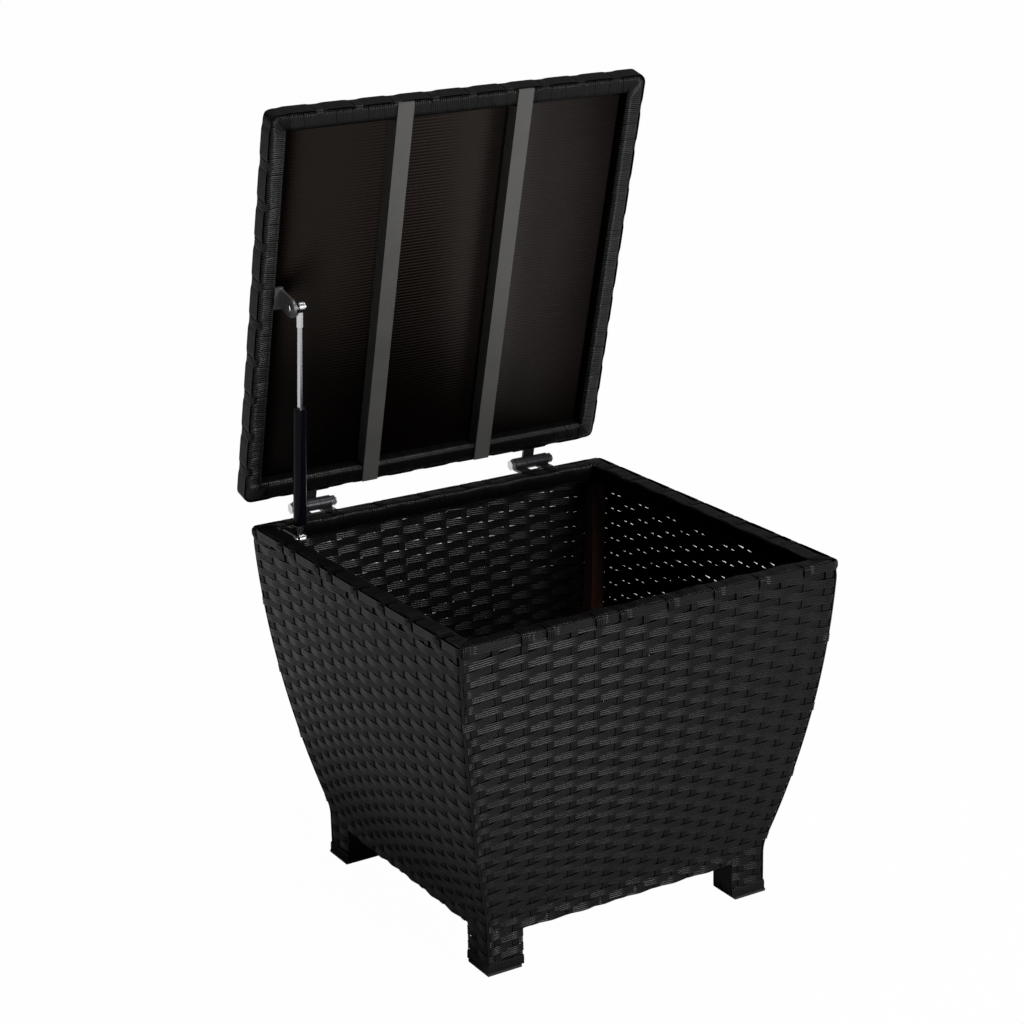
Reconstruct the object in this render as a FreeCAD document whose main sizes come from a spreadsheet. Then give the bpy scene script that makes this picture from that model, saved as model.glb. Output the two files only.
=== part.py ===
"""Storage side table: a flared wicker tub on four legs, with a hinged lid held up by a gas strut.

Millimetres, +Z up, +X to the right of the front, -Y the front. The origin is on the floor, under the
middle of the table's box with the lid open. Every piece is drawn with the lid shut and the tub's middle
at x = y = 0, and its Placement then swings the lid open and moves the whole over the origin.
"""
import FreeCAD, Part
import Sketcher
import math
import os

SIZES = {
    # Tub: the mouth, the flare of the sides and the legs
    "base_height": 402.0,
    "rim_side": 476.0,
    "rim_corner_radius": 12.0,
    "rim_depth": 24.0,
    "flare_radius": 1450.0,
    "foot_spread": 366.0,
    "foot_turn_radius": 80.0,
    "leg_side": 42.0,
    "wall_bottom": 43.0,
    "leg_rise": 4.3,
    # Frame tubes and the wicker wound or woven over them
    "wrap_thickness": 2.0,
    "weave_thickness": 4.0,
    "course_height": 37.0,
    "course_groove_depth": 1.5,
    "course_groove_width": 3.0,
    "tube_wall": 1.2,
    "post_side": 18.0,
    "rail_height": 15.0,
    "rail_depth": 12.0,
    "floor_thickness": 5.0,
    "glide_thickness": 3.0,
    "glide_spigot_height": 12.0,
    "spigot_clearance": 0.3,
    # Lid
    "lid_side": 477.0,
    "lid_depth": 23.0,
    "lid_corner_radius": 12.0,
    "lid_gap": 2.0,
    "lid_open_angle": 75.0,
    "bar_spacing": 152.0,
    "bar_width": 20.0,
    "bar_proud": 1.0,
    "bar_end_margin": 2.0,
    "notch_clearance": 0.3,
    "board_thickness": 4.0,
    "lid_weave_thickness": 3.0,
    # Barrel hinges
    "hinge_back": 18.0,
    "hinge_rise": 4.0,
    "hinge_inset": 89.0,
    "knuckle_radius": 7.5,
    "knuckle_length": 15.0,
    "knuckle_gap": 0.5,
    "leaf_thickness": 3.0,
    "leaf_height": 20.0,
    "bolt_radius": 4.0,
    "pin_clearance": 0.05,
    "bolt_head_radius": 6.5,
    "bolt_head_length": 5.0,
    "bolt_nut_length": 6.0,
    "bolt_end_length": 2.0,
    # Gas strut: its pivots, cylinder, rod and ends
    "strut_inset": 15.2,
    "strut_base_forward": 48.7,
    "strut_base_drop": 9.7,
    "strut_lid_reach": 258.7,
    "strut_lid_drop": 22.6,
    "cylinder_radius": 7.5,
    "cylinder_wall": 1.5,
    "cylinder_start": 18.0,
    "cylinder_length": 140.0,
    "rod_radius": 3.0,
    "guide_length": 12.0,
    "guide_clearance": 0.05,
    "piston_clearance": 0.08,
    "piston_length": 9.0,
    "piston_setback": 16.0,
    "eye_radius": 7.0,
    "eye_thickness": 6.0,
    "eye_shank_radius": 4.0,
    "eye_shank_length": 23.0,
    "pivot_radius": 3.0,
    "pivot_head_radius": 5.0,
    "pivot_head_length": 2.0,
    "pivot_gap": 0.5,
    # Strut brackets
    "ear_offset": 8.6,
    "ear_thickness": 3.0,
    "ear_radius": 11.0,
    "ear_root_width": 26.0,
    "stud_gap": 0.3,
    "stud_nut_radius": 4.6,
    "stud_nut_length": 2.5,
    "base_bracket_width": 30.0,
    "base_bracket_height": 22.0,
    "base_bracket_thickness": 3.0,
}


class Size:
    """A named size, or a sum worked out from named sizes: its value, and its text for an expression."""

    def __init__(self, text, value):
        self.text = text
        self.value = value

    @staticmethod
    def of(other):
        """The same thing as a Size, if it is a plain number."""
        return other if isinstance(other, Size) else Size(repr(float(other)), float(other))

    def __add__(self, other):
        other = Size.of(other)
        return Size(f"({self.text} + {other.text})", self.value + other.value)

    def __sub__(self, other):
        other = Size.of(other)
        return Size(f"({self.text} - {other.text})", self.value - other.value)

    def __mul__(self, other):
        other = Size.of(other)
        return Size(f"({self.text} * {other.text})", self.value * other.value)

    def __truediv__(self, other):
        other = Size.of(other)
        return Size(f"({self.text} / {other.text})", self.value / other.value)

    def __rsub__(self, other):
        return Size.of(other) - self

    def __neg__(self):
        return Size(f"(-{self.text})", -self.value)


def sine(angle):
    """Sine of a size in degrees."""
    return Size(f"sin({angle.text})", math.sin(math.radians(angle.value)))


def cosine(angle):
    """Cosine of a size in degrees."""
    return Size(f"cos({angle.text})", math.cos(math.radians(angle.value)))


def root(number):
    """Square root of a size."""
    return Size(f"sqrt({number.text})", math.sqrt(number.value))


def arcsine(number):
    """The angle with a given sine, in degrees, as a size."""
    return Size(f"asin({number.text})", math.degrees(math.asin(number.value)))


def larger(first, second):
    """The larger of two sizes."""
    return Size(f"max({first.text}; {second.text})", max(first.value, second.value))


def smaller(first, second):
    """The smaller of two sizes."""
    return Size(f"min({first.text}; {second.text})", min(first.value, second.value))


def arctangent(rise, run):
    """The angle of a slope, in degrees, as a size."""
    text = f"atan2({rise.text}; {run.text})"
    return Size(text, math.degrees(math.atan2(rise.value, run.value)))


class Sizes:
    """The driving dimensions, one attribute each."""

    def __init__(self, values):
        for name, value in values.items():
            setattr(self, name, Size(f"Sizes.{name}", value))


doc = FreeCAD.newDocument("storage_side_table")
sheet = doc.addObject("Spreadsheet::Sheet", "Sizes")
for row, (alias, number) in enumerate(SIZES.items(), start=1):
    sheet.set(f"A{row}", str(number))
    sheet.setAlias(f"A{row}", alias)
doc.recompute()

s = Sizes(SIZES)
nodes = {}
own_places = {}

# Places that several pieces share
rim_half = s.rim_side / 2
foot_half = s.foot_spread / 2
lid_half = s.lid_side / 2
rim_bottom = s.base_height - s.rim_depth
lid_bottom = s.base_height + s.lid_gap
lid_top = lid_bottom + s.lid_depth
hinge_y = larger(rim_half, lid_half) + s.hinge_back
hinge_z = s.base_height + s.hinge_rise
open_cosine = cosine(s.lid_open_angle)
open_sine = sine(s.lid_open_angle)
back_reach = hinge_y + (lid_half - hinge_y) * open_cosine + (lid_top - hinge_z) * open_sine
base_y = (rim_half - back_reach) / 2
lid_inner_half = lid_half - s.lid_depth
rim_inner_half = rim_half - s.rim_depth
board_top = lid_top - s.lid_weave_thickness
board_bottom = board_top - s.board_thickness
plan_reach = s.rim_side + s.lid_side

# The flare: one large arc down from the rim, and a small one that turns it into the upright leg
turn_x = foot_half + s.foot_turn_radius
leg_top = s.wall_bottom + s.leg_rise
turn_run = turn_x - rim_half
turn_drop = s.base_height - leg_top
turn_distance = root(turn_run * turn_run + turn_drop * turn_drop)
turn_lever = (s.flare_radius * 2 + s.foot_turn_radius) * s.foot_turn_radius
turn_sine = (turn_lever - turn_distance * turn_distance) / (s.flare_radius * turn_distance * 2)
flare_lean = arcsine(turn_sine) - arctangent(turn_run, turn_drop)

# The strut's pivots: the lower one on the tub, the upper one on the shut lid, then on the open lid
strut_x = s.strut_inset - smaller(rim_inner_half, lid_inner_half)
strut_base_y = rim_half - s.strut_base_forward
strut_base_z = s.base_height - s.strut_base_drop
lid_pivot_y = lid_half - s.strut_lid_reach
lid_pivot_z = lid_bottom - s.strut_lid_drop
open_pivot_y = hinge_y + (lid_pivot_y - hinge_y) * open_cosine + (lid_pivot_z - hinge_z) * open_sine
open_pivot_z = hinge_z - (lid_pivot_y - hinge_y) * open_sine + (lid_pivot_z - hinge_z) * open_cosine
strut_run_y = open_pivot_y - strut_base_y
strut_run_z = open_pivot_z - strut_base_z
strut_length = root(strut_run_y * strut_run_y + strut_run_z * strut_run_z)
strut_tilt = arctangent(-strut_run_y, strut_run_z)


def vector(x, y, z):
    """Expression text of a vector of sizes."""
    return f"vector({Size.of(x).text}; {Size.of(y).text}; {Size.of(z).text})"


def moved(x, y, z, axis="0; 0; 1", angle=0.0):
    """Expression text of a placement: a turn about an axis through the origin, then a shift."""
    return f"placement({vector(x, y, z)}; rotation(vector({axis}); {Size.of(angle).text}))"


OVER_ORIGIN = moved(0.0, base_y, 0.0)
LID_SWING = " * ".join((
    OVER_ORIGIN,
    moved(0.0, hinge_y, hinge_z, "1; 0; 0", -s.lid_open_angle),
    moved(0.0, -hinge_y, -hinge_z),
))
STRUT_STAND = " * ".join((
    OVER_ORIGIN,
    moved(strut_x, strut_base_y, strut_base_z, "1; 0; 0", strut_tilt),
))


def place(piece, placement):
    """Binds a simple form's placement, and keeps its text for when the form is a finished piece."""
    piece.setExpression("Placement", placement)
    own_places[piece.Name] = placement


def node(name, piece, placement=OVER_ORIGIN, quarter=0):
    """Names a finished piece, and turns it by quarter turns about the middle before placing it."""
    piece.Label = name
    steps = [placement, moved(0.0, 0.0, 0.0, angle=90.0 * quarter)]
    if piece.Name in own_places:
        steps.append(own_places[piece.Name])
    piece.setExpression("Placement", " * ".join(steps))
    nodes[name] = piece


def bind(piece, **sizes):
    """Binds properties of an object to sizes."""
    for name, size in sizes.items():
        piece.setExpression(name, Size.of(size).text)


def box(low, high):
    """A block between two corners, each given as three sizes."""
    piece = doc.addObject("Part::Box", "Block")
    low = [Size.of(value) for value in low]
    high = [Size.of(value) for value in high]
    bind(piece, Length=high[0] - low[0], Width=high[1] - low[1], Height=high[2] - low[2])
    place(piece, moved(*low))
    return piece


def rod(radius, start, length, axis="0; 0; 1", angle=0.0):
    """A round bar from a start point, along Z or turned about an axis."""
    piece = doc.addObject("Part::Cylinder", "Round")
    bind(piece, Radius=radius, Height=length)
    place(piece, moved(*start, axis, angle))
    return piece


def cross_rod(radius, start, length):
    """A round bar from a start point along +X."""
    return rod(radius, start, length, "0; 1; 0", 90.0)


def hexagon(radius, start, length):
    """A hexagonal nut or head from a start point along +X."""
    piece = doc.addObject("Part::Prism", "Hexagon")
    piece.Polygon = 6
    bind(piece, Circumradius=radius, Height=length)
    place(piece, moved(*start, "0; 1; 0", 90.0))
    return piece


def cut(base, *tools):
    """A piece with other pieces taken out of it."""
    result = base
    for tool in tools:
        piece = doc.addObject("Part::Cut", "Cut")
        piece.Base = result
        piece.Tool = tool
        result = piece
    return result


def fuse(*pieces):
    """Several pieces as one solid."""
    piece = doc.addObject("Part::MultiFuse", "Fusion")
    piece.Shapes = list(pieces)
    piece.Refine = True
    return piece


def common(*pieces):
    """What several pieces share."""
    piece = doc.addObject("Part::MultiCommon", "Common")
    piece.Shapes = list(pieces)
    return piece


def group(*pieces):
    """Like pieces that share one node, each its own solid."""
    piece = doc.addObject("Part::Compound", "Group")
    piece.Links = list(pieces)
    return piece


def front_quarter(bottom, top):
    """The quarter of the plan towards the front, between its two diagonals: it mitres a side's ends."""
    piece = doc.addObject("Part::Box", "Quarter")
    bind(piece, Length=plan_reach, Width=plan_reach, Height=Size.of(top) - bottom)
    place(piece, moved(0.0, 0.0, bottom, angle=-135.0))
    return piece


def rounded_square(half, radius, bottom, top):
    """A square block about the middle with its upright edges rounded."""
    block = box((-half, -half, bottom), (half, half, top))
    doc.recompute()
    piece = doc.addObject("Part::Fillet", "Rounded")
    piece.Base = block
    upright = (1, 3, 5, 7)
    piece.Edges = [(edge, radius.value, radius.value) for edge in upright]
    return piece


def side_names(stem):
    """Node names of the four sides, each with its quarter turns from the front."""
    return [(f"{stem}_{side}", quarter) for quarter, side in enumerate(("front", "right", "back", "left"))]


def corner_names(stem):
    """Node names of the four corners, each with its quarter turns from the front left."""
    corners = ("front_left", "front_right", "back_right", "back_left")
    return [(f"{stem}_{corner}", quarter) for quarter, corner in enumerate(corners)]


def flare_half(height):
    """Half the tub's outside width at a height on the large arc of its flare."""
    rise = s.flare_radius * sine(flare_lean) + s.base_height - height
    run = root(s.flare_radius * s.flare_radius - rise * rise)
    return rim_half + run - s.flare_radius * cosine(flare_lean)


def flare_sketch(outer_inset, inner_inset):
    """The section of a flared side: sketch X outwards from the middle, sketch Y up from the floor.

    Each face is one large arc from the rim, a small arc that turns it upright, and the leg's straight
    line. The inner face is the outer one moved inwards, so the side has the same depth all the way.
    """
    sketch = doc.addObject("Sketcher::SketchObject", "Flare")
    sketch.Placement = FreeCAD.Placement(FreeCAD.Vector(), FreeCAD.Rotation(
        FreeCAD.Vector(0, -1, 0), FreeCAD.Vector(0, 0, 1), FreeCAD.Vector(-1, 0, 0)))
    # How a sketch numbers the points of a line or an arc, its origin and its X axis
    start, end = 1, 2
    origin = (-1, 1)
    x_axis = -1
    top_lean = math.radians(flare_lean.value)
    centre_x = rim_half.value - s.flare_radius.value * math.cos(top_lean)
    centre_y = s.base_height.value + s.flare_radius.value * math.sin(top_lean)
    foot_lean = math.atan2(centre_y - leg_top.value, turn_x.value - centre_x)
    arcs = []
    legs = []
    for inset in (outer_inset, inner_inset):
        shift = Size.of(inset).value
        middle = FreeCAD.Vector(centre_x - shift, centre_y, 0)
        circle = Part.Circle(middle, FreeCAD.Vector(0, 0, 1), s.flare_radius.value)
        large = sketch.addGeometry(Part.ArcOfCircle(circle, -foot_lean, -top_lean), False)
        middle = FreeCAD.Vector(turn_x.value - shift, leg_top.value, 0)
        circle = Part.Circle(middle, FreeCAD.Vector(0, 0, 1), s.foot_turn_radius.value)
        small = sketch.addGeometry(Part.ArcOfCircle(circle, math.pi - foot_lean, math.pi), False)
        foot_x = foot_half.value - shift
        line = Part.LineSegment(FreeCAD.Vector(foot_x, leg_top.value, 0), FreeCAD.Vector(foot_x, 0, 0))
        leg = sketch.addGeometry(line, False)
        arcs.append(large)
        legs.append(leg)
        sketch.addConstraint([
            Sketcher.Constraint("Tangent", large, start, small, start),
            Sketcher.Constraint("Tangent", small, end, leg, start),
            Sketcher.Constraint("PointOnObject", leg, end, x_axis),
        ])
        for kind, geometry, point, size in (
            ("Radius", large, None, s.flare_radius),
            ("Radius", small, None, s.foot_turn_radius),
            ("DistanceX", large, end, rim_half - inset),
            ("DistanceY", large, end, s.base_height),
            ("DistanceX", leg, start, foot_half - inset),
            ("DistanceY", leg, start, leg_top),
            ("DistanceX", leg, end, foot_half - inset),
        ):
            where = (geometry,) if point is None else (*origin, geometry, point)
            index = sketch.addConstraint(Sketcher.Constraint(kind, *where, size.value))
            sketch.setExpression(f"Constraints[{index}]", size.text)
    # The two faces are closed by a line along the floor and one at the rim
    for outer, inner in (legs, arcs):
        ends = Part.LineSegment(sketch.getPoint(outer, end), sketch.getPoint(inner, end))
        line = sketch.addGeometry(ends, False)
        sketch.addConstraint([
            Sketcher.Constraint("Coincident", line, start, outer, end),
            Sketcher.Constraint("Coincident", line, end, inner, end),
        ])
    return sketch


def flared_side(outer_inset, inner_inset, quarter=0):
    """The front side's flared section carried right across the front, or a quarter turn from it."""
    piece = doc.addObject("Part::Extrusion", "Side")
    piece.Base = flare_sketch(outer_inset, inner_inset)
    piece.DirMode = "Normal"
    piece.Solid = True
    piece.Symmetric = True
    bind(piece, LengthFwd=plan_reach)
    place(piece, moved(0.0, 0.0, 0.0, angle=90.0 * quarter))
    return piece


def make_rim():
    """The mouth: a mitred ring of square tube, each side wound with flat wicker."""
    tube_half = rim_half - s.wrap_thickness
    tube_inner = rim_inner_half + s.wrap_thickness
    tube_low = rim_bottom + s.wrap_thickness
    tube_high = s.base_height - s.wrap_thickness
    outline = rounded_square(rim_half, s.rim_corner_radius, rim_bottom, s.base_height)
    tube_outline = rounded_square(tube_half, s.rim_corner_radius - s.wrap_thickness, tube_low, tube_high)
    quarter_block = front_quarter(rim_bottom, s.base_height)
    strip = box((-rim_half, -rim_half, rim_bottom), (rim_half, -rim_inner_half, s.base_height))
    channel = box((-rim_half, -tube_half, tube_low), (rim_half, -tube_inner, tube_high))
    bore = box((-rim_inner_half, s.tube_wall - tube_half, tube_low + s.tube_wall),
               (rim_inner_half, -(tube_inner + s.tube_wall), tube_high - s.tube_wall))
    # The posts pass through the wicker under the tube at both ends of each side
    post_outer = flare_half(tube_low) - s.weave_thickness + s.notch_clearance
    post_inner = flare_half(rim_bottom) - s.weave_thickness - s.post_side - s.notch_clearance
    post_notches = [
        box((low, -post_outer, rim_bottom), (high, -post_inner, tube_low))
        for low, high in ((-post_outer, -post_inner), (post_inner, post_outer))
    ]
    for name, quarter in side_names("rim_wrap"):
        node(name, cut(common(strip, outline, quarter_block), channel, *post_notches), quarter=quarter)
    for name, quarter in side_names("rim_tube"):
        node(name, cut(common(channel, tube_outline, quarter_block), bore), quarter=quarter)


def course_joints(start, end):
    """The low and high edges of the grooves between the courses of weaving from a start to an end."""
    courses = int((end.value - start.value) / s.course_height.value)
    middles = [start + s.course_height * number for number in range(1, courses)]
    half_width = s.course_groove_width / 2
    return [(middle - half_width, middle + half_width) for middle in middles]


def make_walls():
    """The four flared walls, woven in courses with a groove between them, mitred at the corners."""
    side = flared_side(0.0, s.weave_thickness)
    face = flared_side(-s.course_groove_depth, s.course_groove_depth)
    grooves = [
        common(face, box((-plan_reach, -plan_reach, low), (plan_reach, 0.0, high)))
        for low, high in course_joints(s.wall_bottom, rim_bottom)
    ]
    woven = cut(side, *grooves)
    quarter_block = front_quarter(s.wall_bottom, rim_bottom)
    for name, quarter in side_names("wall"):
        node(name, common(woven, quarter_block), quarter=quarter)


def make_posts():
    """The bent corner posts, from the glides up to the rim tube, square in plan at every height."""
    outer = s.weave_thickness
    inner = outer + s.post_side
    top = rim_bottom + s.wrap_thickness
    corner = box((-rim_half, -rim_half, s.glide_thickness), (0.0, 0.0, top))
    front = flared_side(outer, inner)
    left = flared_side(outer, inner, quarter=3)
    bore_front = flared_side(outer + s.tube_wall, inner - s.tube_wall)
    bore_left = flared_side(outer + s.tube_wall, inner - s.tube_wall, quarter=3)
    for name, quarter in corner_names("corner_post"):
        solid = common(front, left, corner)
        bore = common(bore_front, bore_left, corner)
        node(name, cut(solid, bore), quarter=quarter)


def make_legs():
    """The woven leg sleeves under the walls, and the plastic glides that close them."""
    inner = foot_half - s.leg_side
    hollow_outer = foot_half - s.weave_thickness
    hollow_inner = inner + s.weave_thickness
    post_outer = foot_half - s.weave_thickness - s.tube_wall - s.spigot_clearance
    post_inner = foot_half - s.weave_thickness - s.post_side + s.tube_wall + s.spigot_clearance
    spigot_top = s.glide_thickness + s.glide_spigot_height
    for name, quarter in corner_names("leg_wrap"):
        sleeve = box((-foot_half, -foot_half, s.glide_thickness), (-inner, -inner, s.wall_bottom))
        hollow = box((-hollow_outer, -hollow_outer, s.glide_thickness),
                     (-hollow_inner, -hollow_inner, s.wall_bottom))
        node(name, cut(sleeve, hollow), quarter=quarter)
    for name, quarter in corner_names("foot_glide"):
        plate = box((-foot_half, -foot_half, 0.0), (-inner, -inner, s.glide_thickness))
        spigot = box((-post_outer, -post_outer, 0.0), (-post_inner, -post_inner, spigot_top))
        node(name, fuse(plate, spigot), quarter=quarter)


def make_floor():
    """The bottom rails between the posts, and the floor panel that lies on them."""
    rail_outer = foot_half - s.weave_thickness
    rail_end = rail_outer - s.post_side
    rail_top = s.wall_bottom + s.rail_height
    for name, quarter in side_names("bottom_rail"):
        bar = box((-rail_end, -rail_outer, s.wall_bottom),
                  (rail_end, s.rail_depth - rail_outer, rail_top))
        bore = box((-rail_end, s.tube_wall - rail_outer, s.wall_bottom + s.tube_wall),
                   (rail_end, s.rail_depth - s.tube_wall - rail_outer, rail_top - s.tube_wall))
        node(name, cut(bar, bore), quarter=quarter)
    # The panel's corners are cut back round the posts
    floor_top = rail_top + s.floor_thickness
    panel = box((-rail_outer, -rail_outer, rail_top), (rail_outer, rail_outer, floor_top))
    corner = rail_outer + s.notch_clearance
    inside = rail_end - s.notch_clearance
    notch_side = corner - inside
    notches = [
        box((x, y, rail_top), (x + notch_side, y + notch_side, floor_top))
        for x in (-corner, inside)
        for y in (-corner, inside)
    ]
    node("floor_panel", cut(panel, *notches))


def make_lid_frame():
    """The lid's mitred ring of square tube, each side wound with flat wicker."""
    tube_half = lid_half - s.wrap_thickness
    tube_inner = lid_inner_half + s.wrap_thickness
    tube_low = lid_bottom + s.wrap_thickness
    tube_high = lid_top - s.wrap_thickness
    outline = rounded_square(lid_half, s.lid_corner_radius, lid_bottom, lid_top)
    tube_outline = rounded_square(tube_half, s.lid_corner_radius - s.wrap_thickness, tube_low, tube_high)
    quarter_block = front_quarter(lid_bottom, lid_top)
    strip = box((-lid_half, -lid_half, lid_bottom), (lid_half, -lid_inner_half, lid_top))
    channel = box((-lid_half, -tube_half, tube_low), (lid_half, -tube_inner, tube_high))
    bore_end = lid_half - s.lid_corner_radius
    bore = box((-bore_end, s.tube_wall - tube_half, tube_low + s.tube_wall),
               (bore_end, -(tube_inner + s.tube_wall), tube_high - s.tube_wall))
    notch_half = s.bar_width / 2 + s.notch_clearance
    bar_notches = [
        box((x - notch_half, -lid_half, lid_bottom), (x + notch_half, -lid_inner_half, tube_low))
        for x in (-(s.bar_spacing / 2), s.bar_spacing / 2)
    ]
    # The strut's bracket passes through the wicker on the left member's inner face
    tab_half = s.ear_root_width / 2 + s.notch_clearance
    tab_low = tube_low - s.notch_clearance
    tab_high = tube_low + s.ear_thickness + s.notch_clearance
    tab_notch = box((-lid_pivot_y - tab_half, -tube_inner, tab_low),
                    (tab_half - lid_pivot_y, -lid_inner_half, tab_high))
    extra_cuts = {"front": bar_notches, "right": [], "back": bar_notches, "left": [tab_notch]}
    for name, quarter in side_names("lid_wrap"):
        wound = common(strip, outline, quarter_block)
        side = name.rsplit("_", 1)[1]
        node(name, cut(wound, channel, *extra_cuts[side]), LID_SWING, quarter)
    for name, quarter in side_names("lid_tube"):
        node(name, cut(common(channel, tube_outline, quarter_block), bore), LID_SWING, quarter)


def make_lid_panels():
    """The cross bars with their tongues, the board on them and the top, woven in courses."""
    bar_low = lid_bottom - s.bar_proud
    tube_low = lid_bottom + s.wrap_thickness
    tongue_end = lid_half - s.bar_end_margin
    for name, x in (("lid_bar_left", -(s.bar_spacing / 2)), ("lid_bar_right", s.bar_spacing / 2)):
        left = x - s.bar_width / 2
        right = x + s.bar_width / 2
        body = box((left, -lid_inner_half, bar_low), (right, lid_inner_half, board_bottom))
        tongues = box((left, -tongue_end, bar_low), (right, tongue_end, tube_low))
        bore = box((left + s.tube_wall, -lid_inner_half, tube_low),
                   (right - s.tube_wall, lid_inner_half, board_bottom - s.tube_wall))
        node(name, cut(fuse(body, tongues), bore), LID_SWING)
    board = box((-lid_inner_half, -lid_inner_half, board_bottom),
                (lid_inner_half, lid_inner_half, board_top))
    node("lid_board", board, LID_SWING)
    weave = box((-lid_inner_half, -lid_inner_half, board_top),
                (lid_inner_half, lid_inner_half, lid_top))
    groove_floor = lid_top - s.course_groove_depth
    groove_mouth = lid_top + s.course_groove_depth
    grooves = [
        box((-lid_half, low, groove_floor), (lid_half, high, groove_mouth))
        for low, high in course_joints(-lid_inner_half, lid_inner_half)
    ]
    node("lid_weave", cut(weave, *grooves), LID_SWING)


def make_hinges():
    """Two barrel hinges behind the rim: two knuckles on the tub, one on the lid, on a bolt with its nut."""
    # Half of three knuckles and the two gaps between them
    barrel_half = s.knuckle_length + s.knuckle_length / 2 + s.knuckle_gap
    arm_low = hinge_z - s.knuckle_radius
    arm_high = hinge_z + s.knuckle_radius
    bolts = []
    nuts = []
    for side, x in (("left", s.hinge_inset - rim_half), ("right", rim_half - s.hinge_inset)):
        start = x - barrel_half
        bore = cross_rod(s.bolt_radius + s.pin_clearance, (start, hinge_y, hinge_z), barrel_half * 2)
        plate_back = rim_half + s.leaf_thickness
        plate = box((start, rim_half, arm_low + s.leaf_thickness - s.leaf_height),
                    (x + barrel_half, plate_back, arm_low + s.leaf_thickness))
        pieces = [plate]
        for low in (start, x + s.knuckle_length / 2 + s.knuckle_gap):
            arm_end = (low + s.knuckle_length, hinge_y, arm_low + s.leaf_thickness)
            pieces.append(box((low, rim_half, arm_low), arm_end))
            pieces.append(cross_rod(s.knuckle_radius, (low, hinge_y, hinge_z), s.knuckle_length))
        node(f"hinge_base_{side}", cut(fuse(*pieces), bore))
        low = x - s.knuckle_length / 2
        knuckle = cross_rod(s.knuckle_radius, (low, hinge_y, hinge_z), s.knuckle_length)
        arm = box((low, lid_half, arm_high - s.leaf_thickness), (low + s.knuckle_length, hinge_y, arm_high))
        plate = box((start, lid_half, arm_high - s.leaf_thickness),
                    (x + barrel_half, lid_half + s.leaf_thickness, lid_top - s.wrap_thickness))
        node(f"hinge_lid_{side}", cut(fuse(plate, arm, knuckle), bore), LID_SWING)
        shank_length = barrel_half * 2 + s.bolt_nut_length + s.bolt_end_length
        shank = cross_rod(s.bolt_radius, (start, hinge_y, hinge_z), shank_length)
        head_start = start - s.bolt_head_length
        head = hexagon(s.bolt_head_radius, (head_start, hinge_y, hinge_z), s.bolt_head_length)
        bolts.append(fuse(shank, head))
        nut_start = (x + barrel_half, hinge_y, hinge_z)
        nut_bore = cross_rod(s.bolt_radius + s.pin_clearance, nut_start, s.bolt_nut_length)
        nuts.append(cut(hexagon(s.bolt_head_radius, nut_start, s.bolt_nut_length), nut_bore))
    node("hinge_bolts", group(*bolts))
    node("hinge_nuts", group(*nuts))


def make_strut_brackets():
    """The strut's bracket and pin on the rim, and its eared bracket under the lid's left member."""
    plate_x = -rim_inner_half
    plate_end = plate_x + s.base_bracket_thickness
    width = s.base_bracket_width / 2
    plate = box((plate_x, strut_base_y - width, s.base_height - s.base_bracket_height),
                (plate_end, strut_base_y + width, s.base_height))
    pivot = (plate_x, strut_base_y, strut_base_z)
    hole = cross_rod(s.pivot_radius + s.pin_clearance, pivot, s.base_bracket_thickness)
    node("strut_base_bracket", cut(plate, hole))
    eye_end = strut_x + s.eye_thickness / 2
    head_start = eye_end + s.pivot_gap
    pin = cross_rod(s.pivot_radius, pivot, head_start - plate_x)
    head = cross_rod(s.pivot_head_radius, (head_start, strut_base_y, strut_base_z), s.pivot_head_length)
    node("strut_base_pin", fuse(pin, head))

    ear_right = strut_x - s.ear_offset
    ear_left = ear_right - s.ear_thickness
    tube_inner = lid_inner_half + s.wrap_thickness
    tab_low = lid_bottom + s.wrap_thickness
    tab_high = tab_low + s.ear_thickness
    half = s.ear_root_width / 2
    tab = box((-tube_inner, lid_pivot_y - half, tab_low), (ear_right, lid_pivot_y + half, tab_high))
    web = box((ear_left, lid_pivot_y - s.ear_radius, lid_pivot_z),
              (ear_right, lid_pivot_y + s.ear_radius, tab_high))
    tip = cross_rod(s.ear_radius, (ear_left, lid_pivot_y, lid_pivot_z), s.ear_thickness)
    node("strut_lid_bracket", fuse(tab, web, tip), LID_SWING)
    nut_start = ear_left - s.stud_nut_length
    nut = hexagon(s.stud_nut_radius, (nut_start, lid_pivot_y, lid_pivot_z), s.stud_nut_length)
    node("strut_stud_nut", nut, LID_SWING)


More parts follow.
